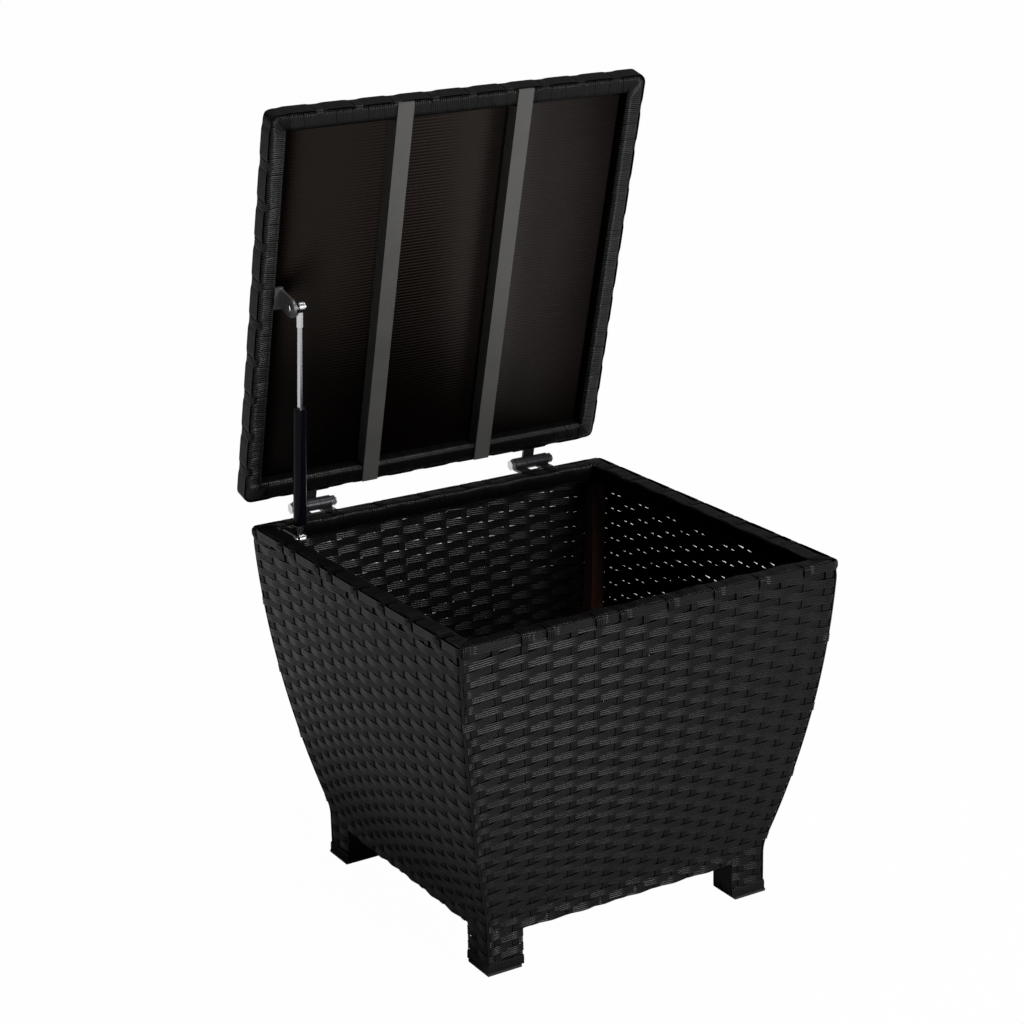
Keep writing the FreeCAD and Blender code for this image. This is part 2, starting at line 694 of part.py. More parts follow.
def make_strut():
    """The gas strut, drawn upright from its lower pivot and then tilted to the upper one."""
    half_eye = s.eye_thickness / 2
    cylinder_end = s.cylinder_start + s.cylinder_length
    bore_radius = s.cylinder_radius - s.cylinder_wall
    bore_start = s.cylinder_start + s.cylinder_wall
    guide_start = cylinder_end - s.guide_length
    rod_passage = s.rod_radius + s.guide_clearance
    shell = rod(s.cylinder_radius, (0.0, 0.0, s.cylinder_start), s.cylinder_length)
    bore = rod(bore_radius, (0.0, 0.0, bore_start), cylinder_end - bore_start)
    node("strut_cylinder", cut(shell, bore), STRUT_STAND)
    guide = rod(bore_radius - s.guide_clearance, (0.0, 0.0, guide_start), s.guide_length)
    passage = rod(rod_passage, (0.0, 0.0, guide_start), s.guide_length)
    node("strut_guide", cut(guide, passage), STRUT_STAND)

    # Each eye's shank starts inside its ring, clear of the hole
    ring_middle = (s.eye_radius + s.pivot_radius) / 2
    ring = cross_rod(s.eye_radius, (-half_eye, 0.0, 0.0), s.eye_thickness)
    shank = rod(s.eye_shank_radius, (0.0, 0.0, ring_middle), s.cylinder_start - ring_middle)
    hole = cross_rod(s.pivot_radius + s.pin_clearance, (-half_eye, 0.0, 0.0), s.eye_thickness)
    node("strut_lower_eye", cut(fuse(ring, shank), hole), STRUT_STAND)

    rod_end = strut_length - s.eye_shank_length
    piston_start = guide_start - s.piston_setback - s.piston_length
    bar = rod(s.rod_radius, (0.0, 0.0, piston_start), rod_end - piston_start)
    node("strut_rod", bar, STRUT_STAND)
    disc = rod(bore_radius - s.piston_clearance, (0.0, 0.0, piston_start), s.piston_length)
    seat = rod(rod_passage, (0.0, 0.0, piston_start), s.piston_length)
    node("strut_piston", cut(disc, seat), STRUT_STAND)

    ring = cross_rod(s.eye_radius, (-half_eye, 0.0, strut_length), s.eye_thickness)
    shank = rod(s.eye_shank_radius, (0.0, 0.0, rod_end), s.eye_shank_length - ring_middle)
    hole = cross_rod(s.pivot_radius + s.pin_clearance, (-half_eye, 0.0, strut_length), s.eye_thickness)
    node("strut_upper_eye", cut(fuse(ring, shank), hole), STRUT_STAND)
    # The stud goes with the upper eye, and ends just short of the lid bracket's ear
    stud_start = s.stud_gap - s.ear_offset
    head_start = half_eye + s.pivot_gap
    stud = cross_rod(s.pivot_radius, (stud_start, 0.0, strut_length), head_start - stud_start)
    head = cross_rod(s.pivot_head_radius, (head_start, 0.0, strut_length), s.pivot_head_length)
    node("strut_upper_stud", fuse(stud, head), STRUT_STAND)


def check_and_write():
    """Stops on any failed object or solid, then writes each node to its file."""
    doc.recompute()
    for piece in doc.Objects:
        if "Invalid" in piece.State or "Error" in piece.State:
            raise RuntimeError(f"{piece.Name} {piece.Label} failed: {piece.State}")
    for name, piece in nodes.items():
        if piece.Shape.isNull() or not piece.Shape.isValid() or not piece.Shape.Solids:
            raise RuntimeError(f"{name} has no valid solid")
    os.makedirs("parts", exist_ok=True)
    for name, piece in nodes.items():
        piece.Shape.exportStep(f"parts/{name}.step")
    print(len(nodes), "nodes written")


make_rim()
make_walls()
make_posts()
make_legs()
make_floor()
make_lid_frame()
make_lid_panels()
make_hinges()
make_strut_brackets()
make_strut()
check_and_write()
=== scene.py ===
"""A storage side table in dark wicker with a lifting lid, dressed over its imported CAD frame.

Everything is in metres, in the frame of the CAD model: X to the right, Y to the back, Z up.
Each side of the table is worked out as the front side and turned about the tub's middle in quarter
turns. The lid is worked out shut and then swung open about its hinge line.
"""

import logging
import math
from dataclasses import dataclass
from enum import Enum
from typing import ClassVar

import bpy
import numpy as np
from mathutils import Matrix


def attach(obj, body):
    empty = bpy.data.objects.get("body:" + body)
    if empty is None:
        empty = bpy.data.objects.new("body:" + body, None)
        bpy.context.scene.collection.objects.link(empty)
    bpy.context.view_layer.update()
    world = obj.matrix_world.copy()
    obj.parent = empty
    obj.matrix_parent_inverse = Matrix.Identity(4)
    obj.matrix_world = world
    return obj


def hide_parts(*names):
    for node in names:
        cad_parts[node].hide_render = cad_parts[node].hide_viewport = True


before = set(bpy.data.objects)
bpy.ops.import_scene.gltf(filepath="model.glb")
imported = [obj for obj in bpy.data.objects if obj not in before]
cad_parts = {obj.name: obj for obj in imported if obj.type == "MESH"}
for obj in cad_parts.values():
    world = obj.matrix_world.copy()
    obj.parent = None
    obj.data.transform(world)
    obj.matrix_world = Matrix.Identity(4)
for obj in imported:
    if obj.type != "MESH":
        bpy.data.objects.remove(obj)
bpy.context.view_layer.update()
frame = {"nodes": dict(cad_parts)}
LOG = logging.getLogger("side_table")
MM = 0.001
EIGHTH_TURN = math.pi / 4
Triple = tuple[float, float, float]
Pair = tuple[float, float]
Array = np.ndarray
WHITE: Triple = (1.0, 1.0, 1.0)


class Quarter(Enum):
    """A place counted in quarter turns about the upright."""

    @property
    def word(self) -> str:
        """The place's name as the CAD nodes spell it."""
        return self.name.lower()


class Side(Quarter):
    """The sides of the table, by quarter turns from the front."""

    FRONT, RIGHT, BACK, LEFT = range(4)


class Corner(Quarter):
    """The corners, by quarter turns from the front left one."""

    FRONT_LEFT, FRONT_RIGHT, BACK_RIGHT, BACK_LEFT = range(4)


class Zone(Enum):
    """The part of a side that a run of weaving covers."""

    WALL = "wall"
    LEG_AT_START = "start"
    LEG_AT_END = "end"


# Shapes


def turned(points: Array, quarter: int) -> Array:
    """Turns points or directions about the vertical by quarter turns, front to right first.

    Args:
        points: The points or directions.
        quarter: How many quarter turns.

    Returns:
        What they become.
    """
    angle = quarter * math.pi / 2
    cos, sin = round(math.cos(angle)), round(math.sin(angle))
    x, y, z = points[..., 0], points[..., 1], points[..., 2]
    return np.stack([cos * x - sin * y, sin * x + cos * y, z], -1)


def smooth_step(value: Array) -> Array:
    """Eases from 0 to 1: three times the square less twice the cube."""
    value = np.clip(value, 0.0, 1.0)
    return value * value * (3.0 - 2.0 * value)


def unit(vectors: Array) -> Array:
    """Vectors brought to a length of one."""
    return vectors / np.linalg.norm(vectors, axis=-1, keepdims=True)


def grid_of(*parts: Array | float) -> Array:
    """Coordinates spread to one shape and put side by side."""
    return np.stack(np.broadcast_arrays(*parts), -1)


def arc(x: float, z: float, radius: float, start: float, end: float, count: int) -> Array:
    """Points on an arc in a section's plane.

    Args:
        x: First coordinate of the arc's middle.
        z: Second coordinate of the arc's middle.
        radius: Its radius.
        start: First angle in degrees.
        end: Last angle in degrees.
        count: How many points.

    Returns:
        The points, count by 2.
    """
    angle = np.radians(np.linspace(start, end, count))
    return np.stack([x + radius * np.cos(angle), z + radius * np.sin(angle)], -1)


def shaded(tone: Array, crest: Array) -> Array:
    """Paleness of a point, painted light and shade: a crest is painted paler than the groove beside it, on
    a pale strand the more.
    """
    return crest * (0.55 + 0.45 * tone) + 0.12 * tone


@dataclass
class Surface:
    """Points and faces of a piece, with a place along and across the strand and a tone at each point; the
    tone carries painted light and shade and painted highlights as well as the strand's own tone.

    Two joined points that have the same line number, 0 or more, lie in a crisp groove beside a rib.
    """

    points: Array
    quads: Array
    caps: list[Array]
    uv: Array
    tone: Array
    line: Array

    @classmethod
    def closed(cls, points: Array, u: Array, v: Array, tone: Array | float, line: Array) -> "Surface":
        """Closes strands whose points go round a section, with a cap at both ends of each.

        The faces are turned round where the volume that they close comes out negative.

        Args:
            points: Strands by samples along by points round by 3.
            u: First place on the strand, of a shape that spreads over the points, as the others are.
            v: Second place on the strand.
            tone: Paleness.
            line: Line numbers.

        Returns:
            The closed surface, facing outwards.
        """
        shape = points.shape[:3]
        index = np.arange(math.prod(shape)).reshape(shape)
        here, ahead = index[:, :-1], index[:, 1:]
        quads = np.stack([here, np.roll(here, -1, 2), np.roll(ahead, -1, 2), ahead], -1).reshape(-1, 4)
        caps = [index[:, 0, ::-1], index[:, -1]]
        points = points.reshape(-1, 3)
        a, b, c, d = (points[quads[:, k]] for k in range(4))
        volume = np.einsum("ij,ij->", a, np.cross(b, c)) + np.einsum("ij,ij->", a, np.cross(c, d))
        if volume < 0:
            quads, caps = quads[:, ::-1], [cap[:, ::-1] for cap in caps]
        u, v, tone, line = (np.broadcast_to(value, shape).reshape(-1) for value in (u, v, tone, line))
        return cls(points, quads, caps, np.stack([u, v], -1), tone, line)

    @classmethod
    def carried(cls, section: Array, run: Array, tone: Array | float = 0.5,
                ribbed: bool = False) -> "Surface":
        """Closes one section that is carried along a member.

        Args:
            section: Samples along by points round by 3.
            run: The length reached at each sample along.
            tone: Paleness, one number for all or samples along by points round.
            ribbed: Whether every second sample along is the crisp groove beside a rib.

        Returns:
            The closed surface.
        """
        samples, count, _ = section.shape
        number = np.arange(samples)[:, None]
        line = np.where(ribbed & (number % 2 == 0), number, -1)
        return cls.closed(section[None], np.arange(count) / count, run[:, None], tone, line)

    @classmethod
    def joined(cls, parts: list["Surface"]) -> "Surface":
        """Puts surfaces into one, with the faces numbered on from part to part.

        Args:
            parts: The surfaces.

        Returns:
            The one surface.
        """
        starts = np.cumsum([0] + [len(part.points) for part in parts])
        numbered = list(zip(parts, starts))
        return cls(np.concatenate([part.points for part in parts]),
                   np.concatenate([part.quads + start for part, start in numbered]),
                   [cap + start for part, start in numbered for cap in part.caps],
                   np.concatenate([part.uv for part in parts]),
                   np.concatenate([part.tone for part in parts]),
                   np.concatenate([part.line for part in parts]))

    def moved(self, quarter: int, shift: float = 0.0) -> "Surface":
        """Turns the points by quarter turns and shifts them to the back."""
        self.points = turned(self.points, quarter) + np.array([0.0, shift, 0.0])
        return self


@dataclass(frozen=True)
class Strand:
    """A flat extruded strand with ribs along both faces and thin flanges at the edges of its back."""

    width: float
    thickness: float
    ribs: int = 4
    groove: float = 0.65 * MM
    flange: float = 0.0
    back_groove: float = 0.6

    def profile(self) -> Array:
        """The outline: rib crests and grooves over the face, and the same over the wider back.

        Returns:
            Points of width and height.
        """
        share = np.linspace(-0.5, 0.5, 2 * self.ribs + 1)
        sunk = 1 - np.arange(2 * self.ribs + 1) % 2
        face = self.thickness / 2 - self.groove * sunk
        face[[0, -1]] = 0.0
        back = self.back_groove * self.groove * sunk - self.thickness / 2
        return np.concatenate([
            np.column_stack([share * self.width, face]),
            np.column_stack([-share * (self.width + 2 * self.flange), back])])

    def laid(self, centres: Array, across: Array, outward: Array, tone: Array,
             widths: Array | float = 1.0) -> Surface:
        """Carries the outline along many paths at once.

        Each point is the path's point, plus the outline's width along the across direction, plus its
        height along the outward direction. A point is a crest where it stands up on a rib.

        Args:
            centres: Path points, strands by samples by 3.
            across: Unit directions over the strand's width, of a shape that spreads over the paths.
            outward: Unit directions away from the surface, likewise.
            tone: One number for each strand.
            widths: A share of the width, for all strands or for each.

        Returns:
            The strands.
        """
        profile = self.profile()
        wide = profile[:, 0] * np.reshape(widths, (-1, 1))
        across, outward = (np.broadcast_to(way, centres.shape)[:, :, None] for way in (across, outward))
        points = centres[:, :, None] + across * wide[:, None, :, None] + outward * profile[:, 1:2]
        steps = np.linalg.norm(np.diff(centres, axis=1), axis=2)
        along = np.concatenate([np.zeros((len(centres), 1)), np.cumsum(steps, 1)], 1)
        number = np.arange(len(profile))
        crest = np.tile(np.arange(len(profile) // 2) % 2, 2)
        # painted light and shade: each crest is toned paler than the groove beside it
        return Surface.closed(points, along[:, :, None], number / len(profile),
                              shaded(tone[:, None, None], crest), np.where(crest > 0, -1, number))


# Materials


class Sock:
    """A shader socket that takes part in arithmetic by adding Math nodes."""

    def __init__(self, tree: "Tree", socket: bpy.types.NodeSocket) -> None:
        """Keeps the socket with the tree that it is in."""
        self.tree = tree
        self.socket = socket

    def __add__(self, other: "Sock | float") -> "Sock":
        """Sum."""
        return self.tree.math("ADD", self, other)

    __radd__ = __add__

    def __sub__(self, other: "Sock | float") -> "Sock":
        """Difference."""
        return self.tree.math("SUBTRACT", self, other)

    def __rsub__(self, other: float) -> "Sock":
        """Difference from a number."""
        return self.tree.math("SUBTRACT", other, self)

    def __mul__(self, other: "Sock | float") -> "Sock":
        """Product."""
        return self.tree.math("MULTIPLY", self, other)

    __rmul__ = __mul__


class Tree:
    """The node tree of a material or a world, written as expressions."""

    def __init__(self, owner: bpy.types.Material | bpy.types.World, shader: str = "BsdfPrincipled",
                 output: str = "OutputMaterial") -> None:
        """Starts an empty tree with its shader and output.

        Args:
            owner: The material or world.
            shader: Blender's name of the shader node, less its first two words.
            output: The same for the output node.
        """
        owner.use_nodes = True
        self.owner = owner
        self.nodes, self.links = owner.node_tree.nodes, owner.node_tree.links
        self.nodes.clear()
        self.shader = self.nodes.new(f"ShaderNode{shader}")
        self.output = self.nodes.new(f"ShaderNode{output}")
        self.links.new(self.shader.outputs[0], self.output.inputs["Surface"])

    def put(self, socket: bpy.types.NodeSocket, value: object) -> None:
        """Links a socket to another, or sets its number or colour.

        Args:
            socket: The socket of a node.
            value: Another socket, a number or a colour.
        """
        if isinstance(value, Sock):
            self.links.new(value.socket, socket)
        else:
            socket.default_value = (*value, 1.0) if socket.type == "RGBA" else value

    def node(self, kind: str, settings: dict[str, object] | None = None,
             values: dict[object, object] | None = None, out: object = 0) -> Sock:
        """Adds any node.

        Args:
            kind: Blender's name of the node type, less its first two words.
            settings: The node's own settings, set before its sockets.
            values: Numbers, colours or links for its sockets, by name or place.
            out: The output that is wanted, by name or place.

        Returns:
            The output as a socket that takes part in arithmetic.
        """
        made = self.nodes.new(f"ShaderNode{kind}")
        for key, value in (settings or {}).items():
            setattr(made, key, value)
        for key, value in (values or {}).items():
            self.put(made.inputs[key], value)
        return Sock(self, made.outputs[out])

    def math(self, operation: str, first: Sock | float, second: Sock | float) -> Sock:
        """Adds one Math node."""
        return self.node("Math", {"operation": operation}, {0: first, 1: second})

    def mix(self, share: Sock | float, first: object, second: object) -> Sock:
        """Blends two colours by a share."""
        return self.node("Mix", {"data_type": "RGBA"}, {0: share, 6: first, 7: second}, 2)

    def noise(self, place: Sock, scale: float, detail: float) -> Sock:
        """Noise between 0 and 1 at a place, with its scale in turns to the metre."""
        return self.node("TexNoise", None, {"Vector": place, "Scale": scale, "Detail": detail})

    def place(self) -> Sock:
        """Object coordinates."""
        return self.node("TexCoord", out="Object")

    def stretched(self, place: Sock, scale: Triple) -> Sock:
        """A place with its axes stretched."""
        return self.node("Mapping", None, {"Vector": place, "Scale": scale})

    def eased(self, value: Sock, low: float, high: float) -> Sock:
        """Eases from 0 to 1 between two values."""
        return self.node("MapRange", {"interpolation_type": "SMOOTHSTEP"},
                         {"Value": value, "From Min": low, "From Max": high})

    def bump(self, height: Sock, strength: float, distance: float) -> Sock:
        """A normal bent by a height."""
        return self.node("Bump", None, {"Height": height, "Strength": strength, "Distance": distance})

    def blend(self, share: Sock, other: Sock) -> None:
        """Blends a second shader over the first by a share."""
        sockets = {0: share, 1: Sock(self, self.shader.outputs[0]), 2: other}
        self.put(self.output.inputs["Surface"], self.node("MixShader", None, sockets))

    def finish(self, values: dict[str, object]) -> bpy.types.Material | bpy.types.World:
        """Sets the shader's sockets and hands the material or world over.

        Args:
            values: Numbers, colours or links, by the names of the sockets.

        Returns:
            The material or world.
        """
        for key, value in values.items():
            self.put(self.shader.inputs[key], value)
        return self.owner


@dataclass(frozen=True)
class Wicker:
    """Charcoal plastic strand: dull in its grooves, polished on its crests, with drawing marks along it;
    its colour is painted paler on the crests and darker in the grooves, as light and shade.
    """

    name: str = "wicker"
    # dark and pale: the tone mixes between them, with painted rib light and shade and painted ridge
    # highlights in it
    dark: Triple = (0.0012, 0.0012, 0.0011)
    pale: Triple = (0.0034, 0.0034, 0.0033)
    roughness: float = 0.6
    specular: float = 0.05
    polish: float = 0.32
    polish_roughness: float = 0.31
    shiny_tone: float = 1.2
    cloud_scale: float = 38.0
    streak_scale: Triple = (30.0, 24.0, 1.0)

    def make(self) -> bpy.types.Material:
        """Tone by crest, which is painted light and shade, and by strand, with cloudy wear on it, and fine
        streaks in the bump.

        The polish grows with the tone up to its cap, and again above the tone of a painted highlight on a
        ridge, whose raised tone also paints the ridge pale.

        Returns:
            The material.
        """
        tree = Tree(bpy.data.materials.new(self.name))
        tone = tree.node("Attribute", {"attribute_name": "tone"}, out="Fac")
        strand = tree.node("UVMap", {"uv_map": "strand"})
        cloud = tree.noise(tree.place(), self.cloud_scale, 4.0)
        streak = tree.noise(tree.stretched(strand, self.streak_scale), 1.0, 4.0)
        # painted light and shade: the tone brings paler crests, darker grooves and pale painted highlights
        # on chosen ridges
        share = tone + cloud * 0.24 + streak * 0.16 - 0.2
        rough = self.roughness + (streak - 0.5) * 0.16 + (cloud - 0.5) * 0.1
        even = tree.math("MINIMUM", tone * 1.2, self.polish)
        # painted highlight: extra coat where a ridge's tone is raised above the shine threshold
        ridge = tree.math("MAXIMUM", tone - self.shiny_tone, 0.0)
        return tree.finish({
            "Base Color": tree.mix(share, self.dark, self.pale), "Roughness": rough,
            "Specular IOR Level": self.specular, "Normal": tree.bump(streak, 0.25, 0.2 * MM),
            "Coat Weight": (even + ridge) * (cloud * 0.5 + 0.75), "Coat Roughness": self.polish_roughness})


@dataclass(frozen=True)
class Metal:
    """A painted, plated or bare metal, or a moulded plastic, with a fine grain and handling marks."""

    name: str
    colour: Triple
    worn: Triple
    roughness: float
    metallic: float = 0.0
    specular: float = 0.5
    grain: float = 900.0
    grain_height: float = 0.04 * MM
    marks: float = 26.0
    stretch: Triple = (1.0, 1.0, 1.0)

    def make(self) -> bpy.types.Material:
        """Cloudy marks change colour and gloss, and a fine grain stands in the bump.

        Returns:
            The material.
        """
        tree = Tree(bpy.data.materials.new(self.name))
        place = tree.place()
        marks = tree.noise(place, self.marks, 4.0)
        grain = tree.noise(tree.stretched(place, self.stretch), self.grain, 2.0)
        rough = self.roughness + (marks - 0.5) * 0.2 + (grain - 0.5) * 0.1
        return tree.finish({
            "Base Color": tree.mix(marks, self.colour, self.worn), "Roughness": rough,
            "Metallic": self.metallic, "Specular IOR Level": self.specular,
            "Normal": tree.bump(grain, 0.3, self.grain_height)})


@dataclass(frozen=True)
class Board:
    """Dull dark board with flutes, paler to the right with dust and painted sheen, and black at the lower
    left with painted shade.
    """

    name: str = "fluted_board"
    dark: Triple = (0.001, 0.0005, 0.0003)
    dusty: Triple = (0.0032, 0.0019, 0.0014)
    # part dust, part painted sheen: the pale colour that grows to the right
    dust: Triple = (0.016, 0.0125, 0.0115)
    tint: Triple = (1.0, 0.8, 0.7)
    roughness: float = 0.37
    specular: float = 0.21
    # painted shade: specular of the dark shader at the lower left
    dull_specular: float = 0.03
    streak_scale: Triple = (6.0, 160.0, 160.0)
    # where the pale colour of dust and painted sheen grows to the right
    dust_edges: Pair = (-0.05, 0.2)
    # painted shade: where the dark shader without gloss eases in at the lower left, its tilt and its share
    dull_edges: Pair = (0.48, 0.66)
    dull_tilt: float = 0.35
    dull_share: float = 0.9

    def make(self) -> bpy.types.Material:
        """Slow clouds of dust and streaks along the flutes, and a pale colour that grows to the right, part
        dust and part painted sheen.

        A dark shader without gloss takes over towards the lower left, by height and a share of the place
        across, as painted shade.

        Returns:
            The material.
        """
        tree = Tree(bpy.data.materials.new(self.name))
        place = tree.place()
        cloud = tree.noise(place, 9.0, 4.0)
        streak = tree.noise(tree.stretched(place, self.streak_scale), 1.0, 3.0)
        tooth = tree.noise(place, 1400.0, 2.0)
        share = cloud * 0.7 + streak * 0.5 - 0.1
        x, z = (tree.node("SeparateXYZ", None, {0: place}, axis) for axis in "XZ")
        # paler to the right: part dust, part painted sheen
        right = tree.eased(x, *self.dust_edges)
        # painted shade: towards the lower left, by height and place across
        low = 1.0 - tree.eased(z + x * self.dull_tilt, *self.dull_edges)
        rough = self.roughness + (cloud - 0.5) * 0.16 + (streak - 0.5) * 0.1
        # painted shade: a dark shader without gloss
        dull = tree.node("BsdfPrincipled", None, {"Base Color": self.dark, "Roughness": self.roughness,
                                                  "Specular IOR Level": self.dull_specular})
        tree.blend(low * self.dull_share, dull)
        colour = tree.mix(right * (cloud * 0.6 + 0.6), tree.mix(share, self.dark, self.dusty), self.dust)
        return tree.finish({
            "Base Color": colour, "Roughness": rough, "Specular IOR Level": self.specular,
            "Specular Tint": self.tint, "Normal": tree.bump(tooth, 0.3, 0.05 * MM)})


class Finishes:
    """Every finish of the table, made once and found by its name, mostly that of the record's slot."""

    def __init__(self) -> None:
        """Makes the materials."""
        finishes = (
            Wicker(), Board(),
            Metal("frame_steel", (0.035, 0.013, 0.009), (0.055, 0.022, 0.015), 0.5),
            # painted shade: near black, darker than the frame's own paint, for the cores inside the rim and
            # lid and for the bottom rails
            Metal("core_black", (0.0012, 0.0011, 0.001), (0.003, 0.0027, 0.0025), 0.6, 0.0, 0.15),
            Metal("leg_paint", (0.003, 0.0028, 0.0027), (0.007, 0.0065, 0.006), 0.55, 0.0, 0.2),
            Metal("bar_steel", (0.066, 0.0645, 0.062), (0.09, 0.088, 0.085), 0.42),
            Metal("hinge_steel", (0.04, 0.041, 0.044), (0.085, 0.086, 0.09), 0.3, 0.85),
            Metal("bracket_steel", (0.1, 0.1, 0.105), (0.16, 0.16, 0.165), 0.42, 0.6),
            Metal("bright_steel", (0.5, 0.5, 0.51), (0.62, 0.62, 0.63), 0.26, 1.0),
            Metal("rod_chrome", (0.42, 0.42, 0.44), (0.5, 0.5, 0.52), 0.24, 1.0, stretch=(1.0, 1.0, 0.05)),
            Metal("strut_black", (0.0018, 0.0017, 0.0035), (0.004, 0.0038, 0.007), 0.2, 0.0, 0.06),
            Metal("guide_plastic", (0.012, 0.012, 0.012), (0.03, 0.03, 0.03), 0.45),
            Metal("glide_plastic", (0.014, 0.014, 0.0135), (0.03, 0.03, 0.029), 0.5, 0.0, 0.3))
        self.made = {finish.name: finish.make() for finish in finishes}

    def __getitem__(self, name: str) -> bpy.types.Material:
        """The material of a name."""
        return self.made[name]

    def dress_nodes(self, nodes: dict[str, bpy.types.Object]) -> None:
        """Gives every CAD node the finish of its slot, and the bottom rails a near-black finish of painted
        shade.

        Args:
            nodes: The CAD nodes by name.
        """
        for name, node in nodes.items():
            for spot in node.material_slots:
                plain = spot.material.name.split(".")[0]
                spot.material = self["core_black" if name.startswith("bottom_rail") else plain]


# Pieces


def fill(rows: bpy.types.bpy_prop_collection, name: str, values: Array, kind: type = np.float32) -> None:
    """Sets one property of many rows at once."""
    rows.foreach_set(name, values.astype(kind).reshape(-1))


@dataclass
class Assembly:
    """A sub-assembly: its finishes, and how its pieces come into the scene."""

    finishes: Finishes
    body: ClassVar[str] = "base"

    def piece(self, name: str, surface: Surface, replaced: str = "", slot: str = "wicker",
              finish: str = "") -> None:
        """Puts a surface into the scene as a piece that rides on the assembly's body.

        Args:
            name: The piece's name.
            surface: Its points and faces.
            replaced: The CAD node that it stands for.
            slot: The record's material slot.
            finish: The name of its finish, where it isn't the slot's.
        """
        mesh = bpy.data.meshes.new(name)
        faces = (surface.quads, *surface.caps)
        loops = np.concatenate([part.reshape(-1) for part in faces])
        totals = np.concatenate([np.full(len(part), part.shape[1]) for part in faces])
        mesh.vertices.add(len(surface.points))
        mesh.loops.add(len(loops))
        mesh.polygons.add(len(totals))
        fill(mesh.vertices, "co", surface.points)
        fill(mesh.loops, "vertex_index", loops, np.int32)
        fill(mesh.polygons, "loop_start", np.cumsum(totals) - totals, np.int32)
        fill(mesh.polygons, "loop_total", totals, np.int32)
        fill(mesh.polygons, "use_smooth", np.arange(len(totals)) < len(surface.quads), bool)
        mesh.update(calc_edges=True)
        fill(mesh.uv_layers.new(name="strand").data, "uv", surface.uv[loops])
        # the tone attribute: the strand's own tone with painted light, shade and highlights in it
        fill(mesh.attributes.new("tone", "FLOAT", "POINT").data, "value", surface.tone)
        ends = np.empty(2 * len(mesh.edges), np.int32)
        mesh.edges.foreach_get("vertices", ends)
        first, second = surface.line[ends.reshape(-1, 2)].T
        crisp = mesh.attributes.new("sharp_edge", "BOOLEAN", "EDGE")
        fill(crisp.data, "value", (first == second) & (first >= 0), bool)
        mesh.validate()
        mesh.materials.append(self.finishes[finish or slot])
        piece = bpy.data.objects.new(name, mesh)
        bpy.context.scene.collection.objects.link(piece)
        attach(piece, self.body)
        if replaced:
            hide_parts(replaced)
        LOG.info("%s: %d faces on %s", name, len(totals), self.body)


# The tub


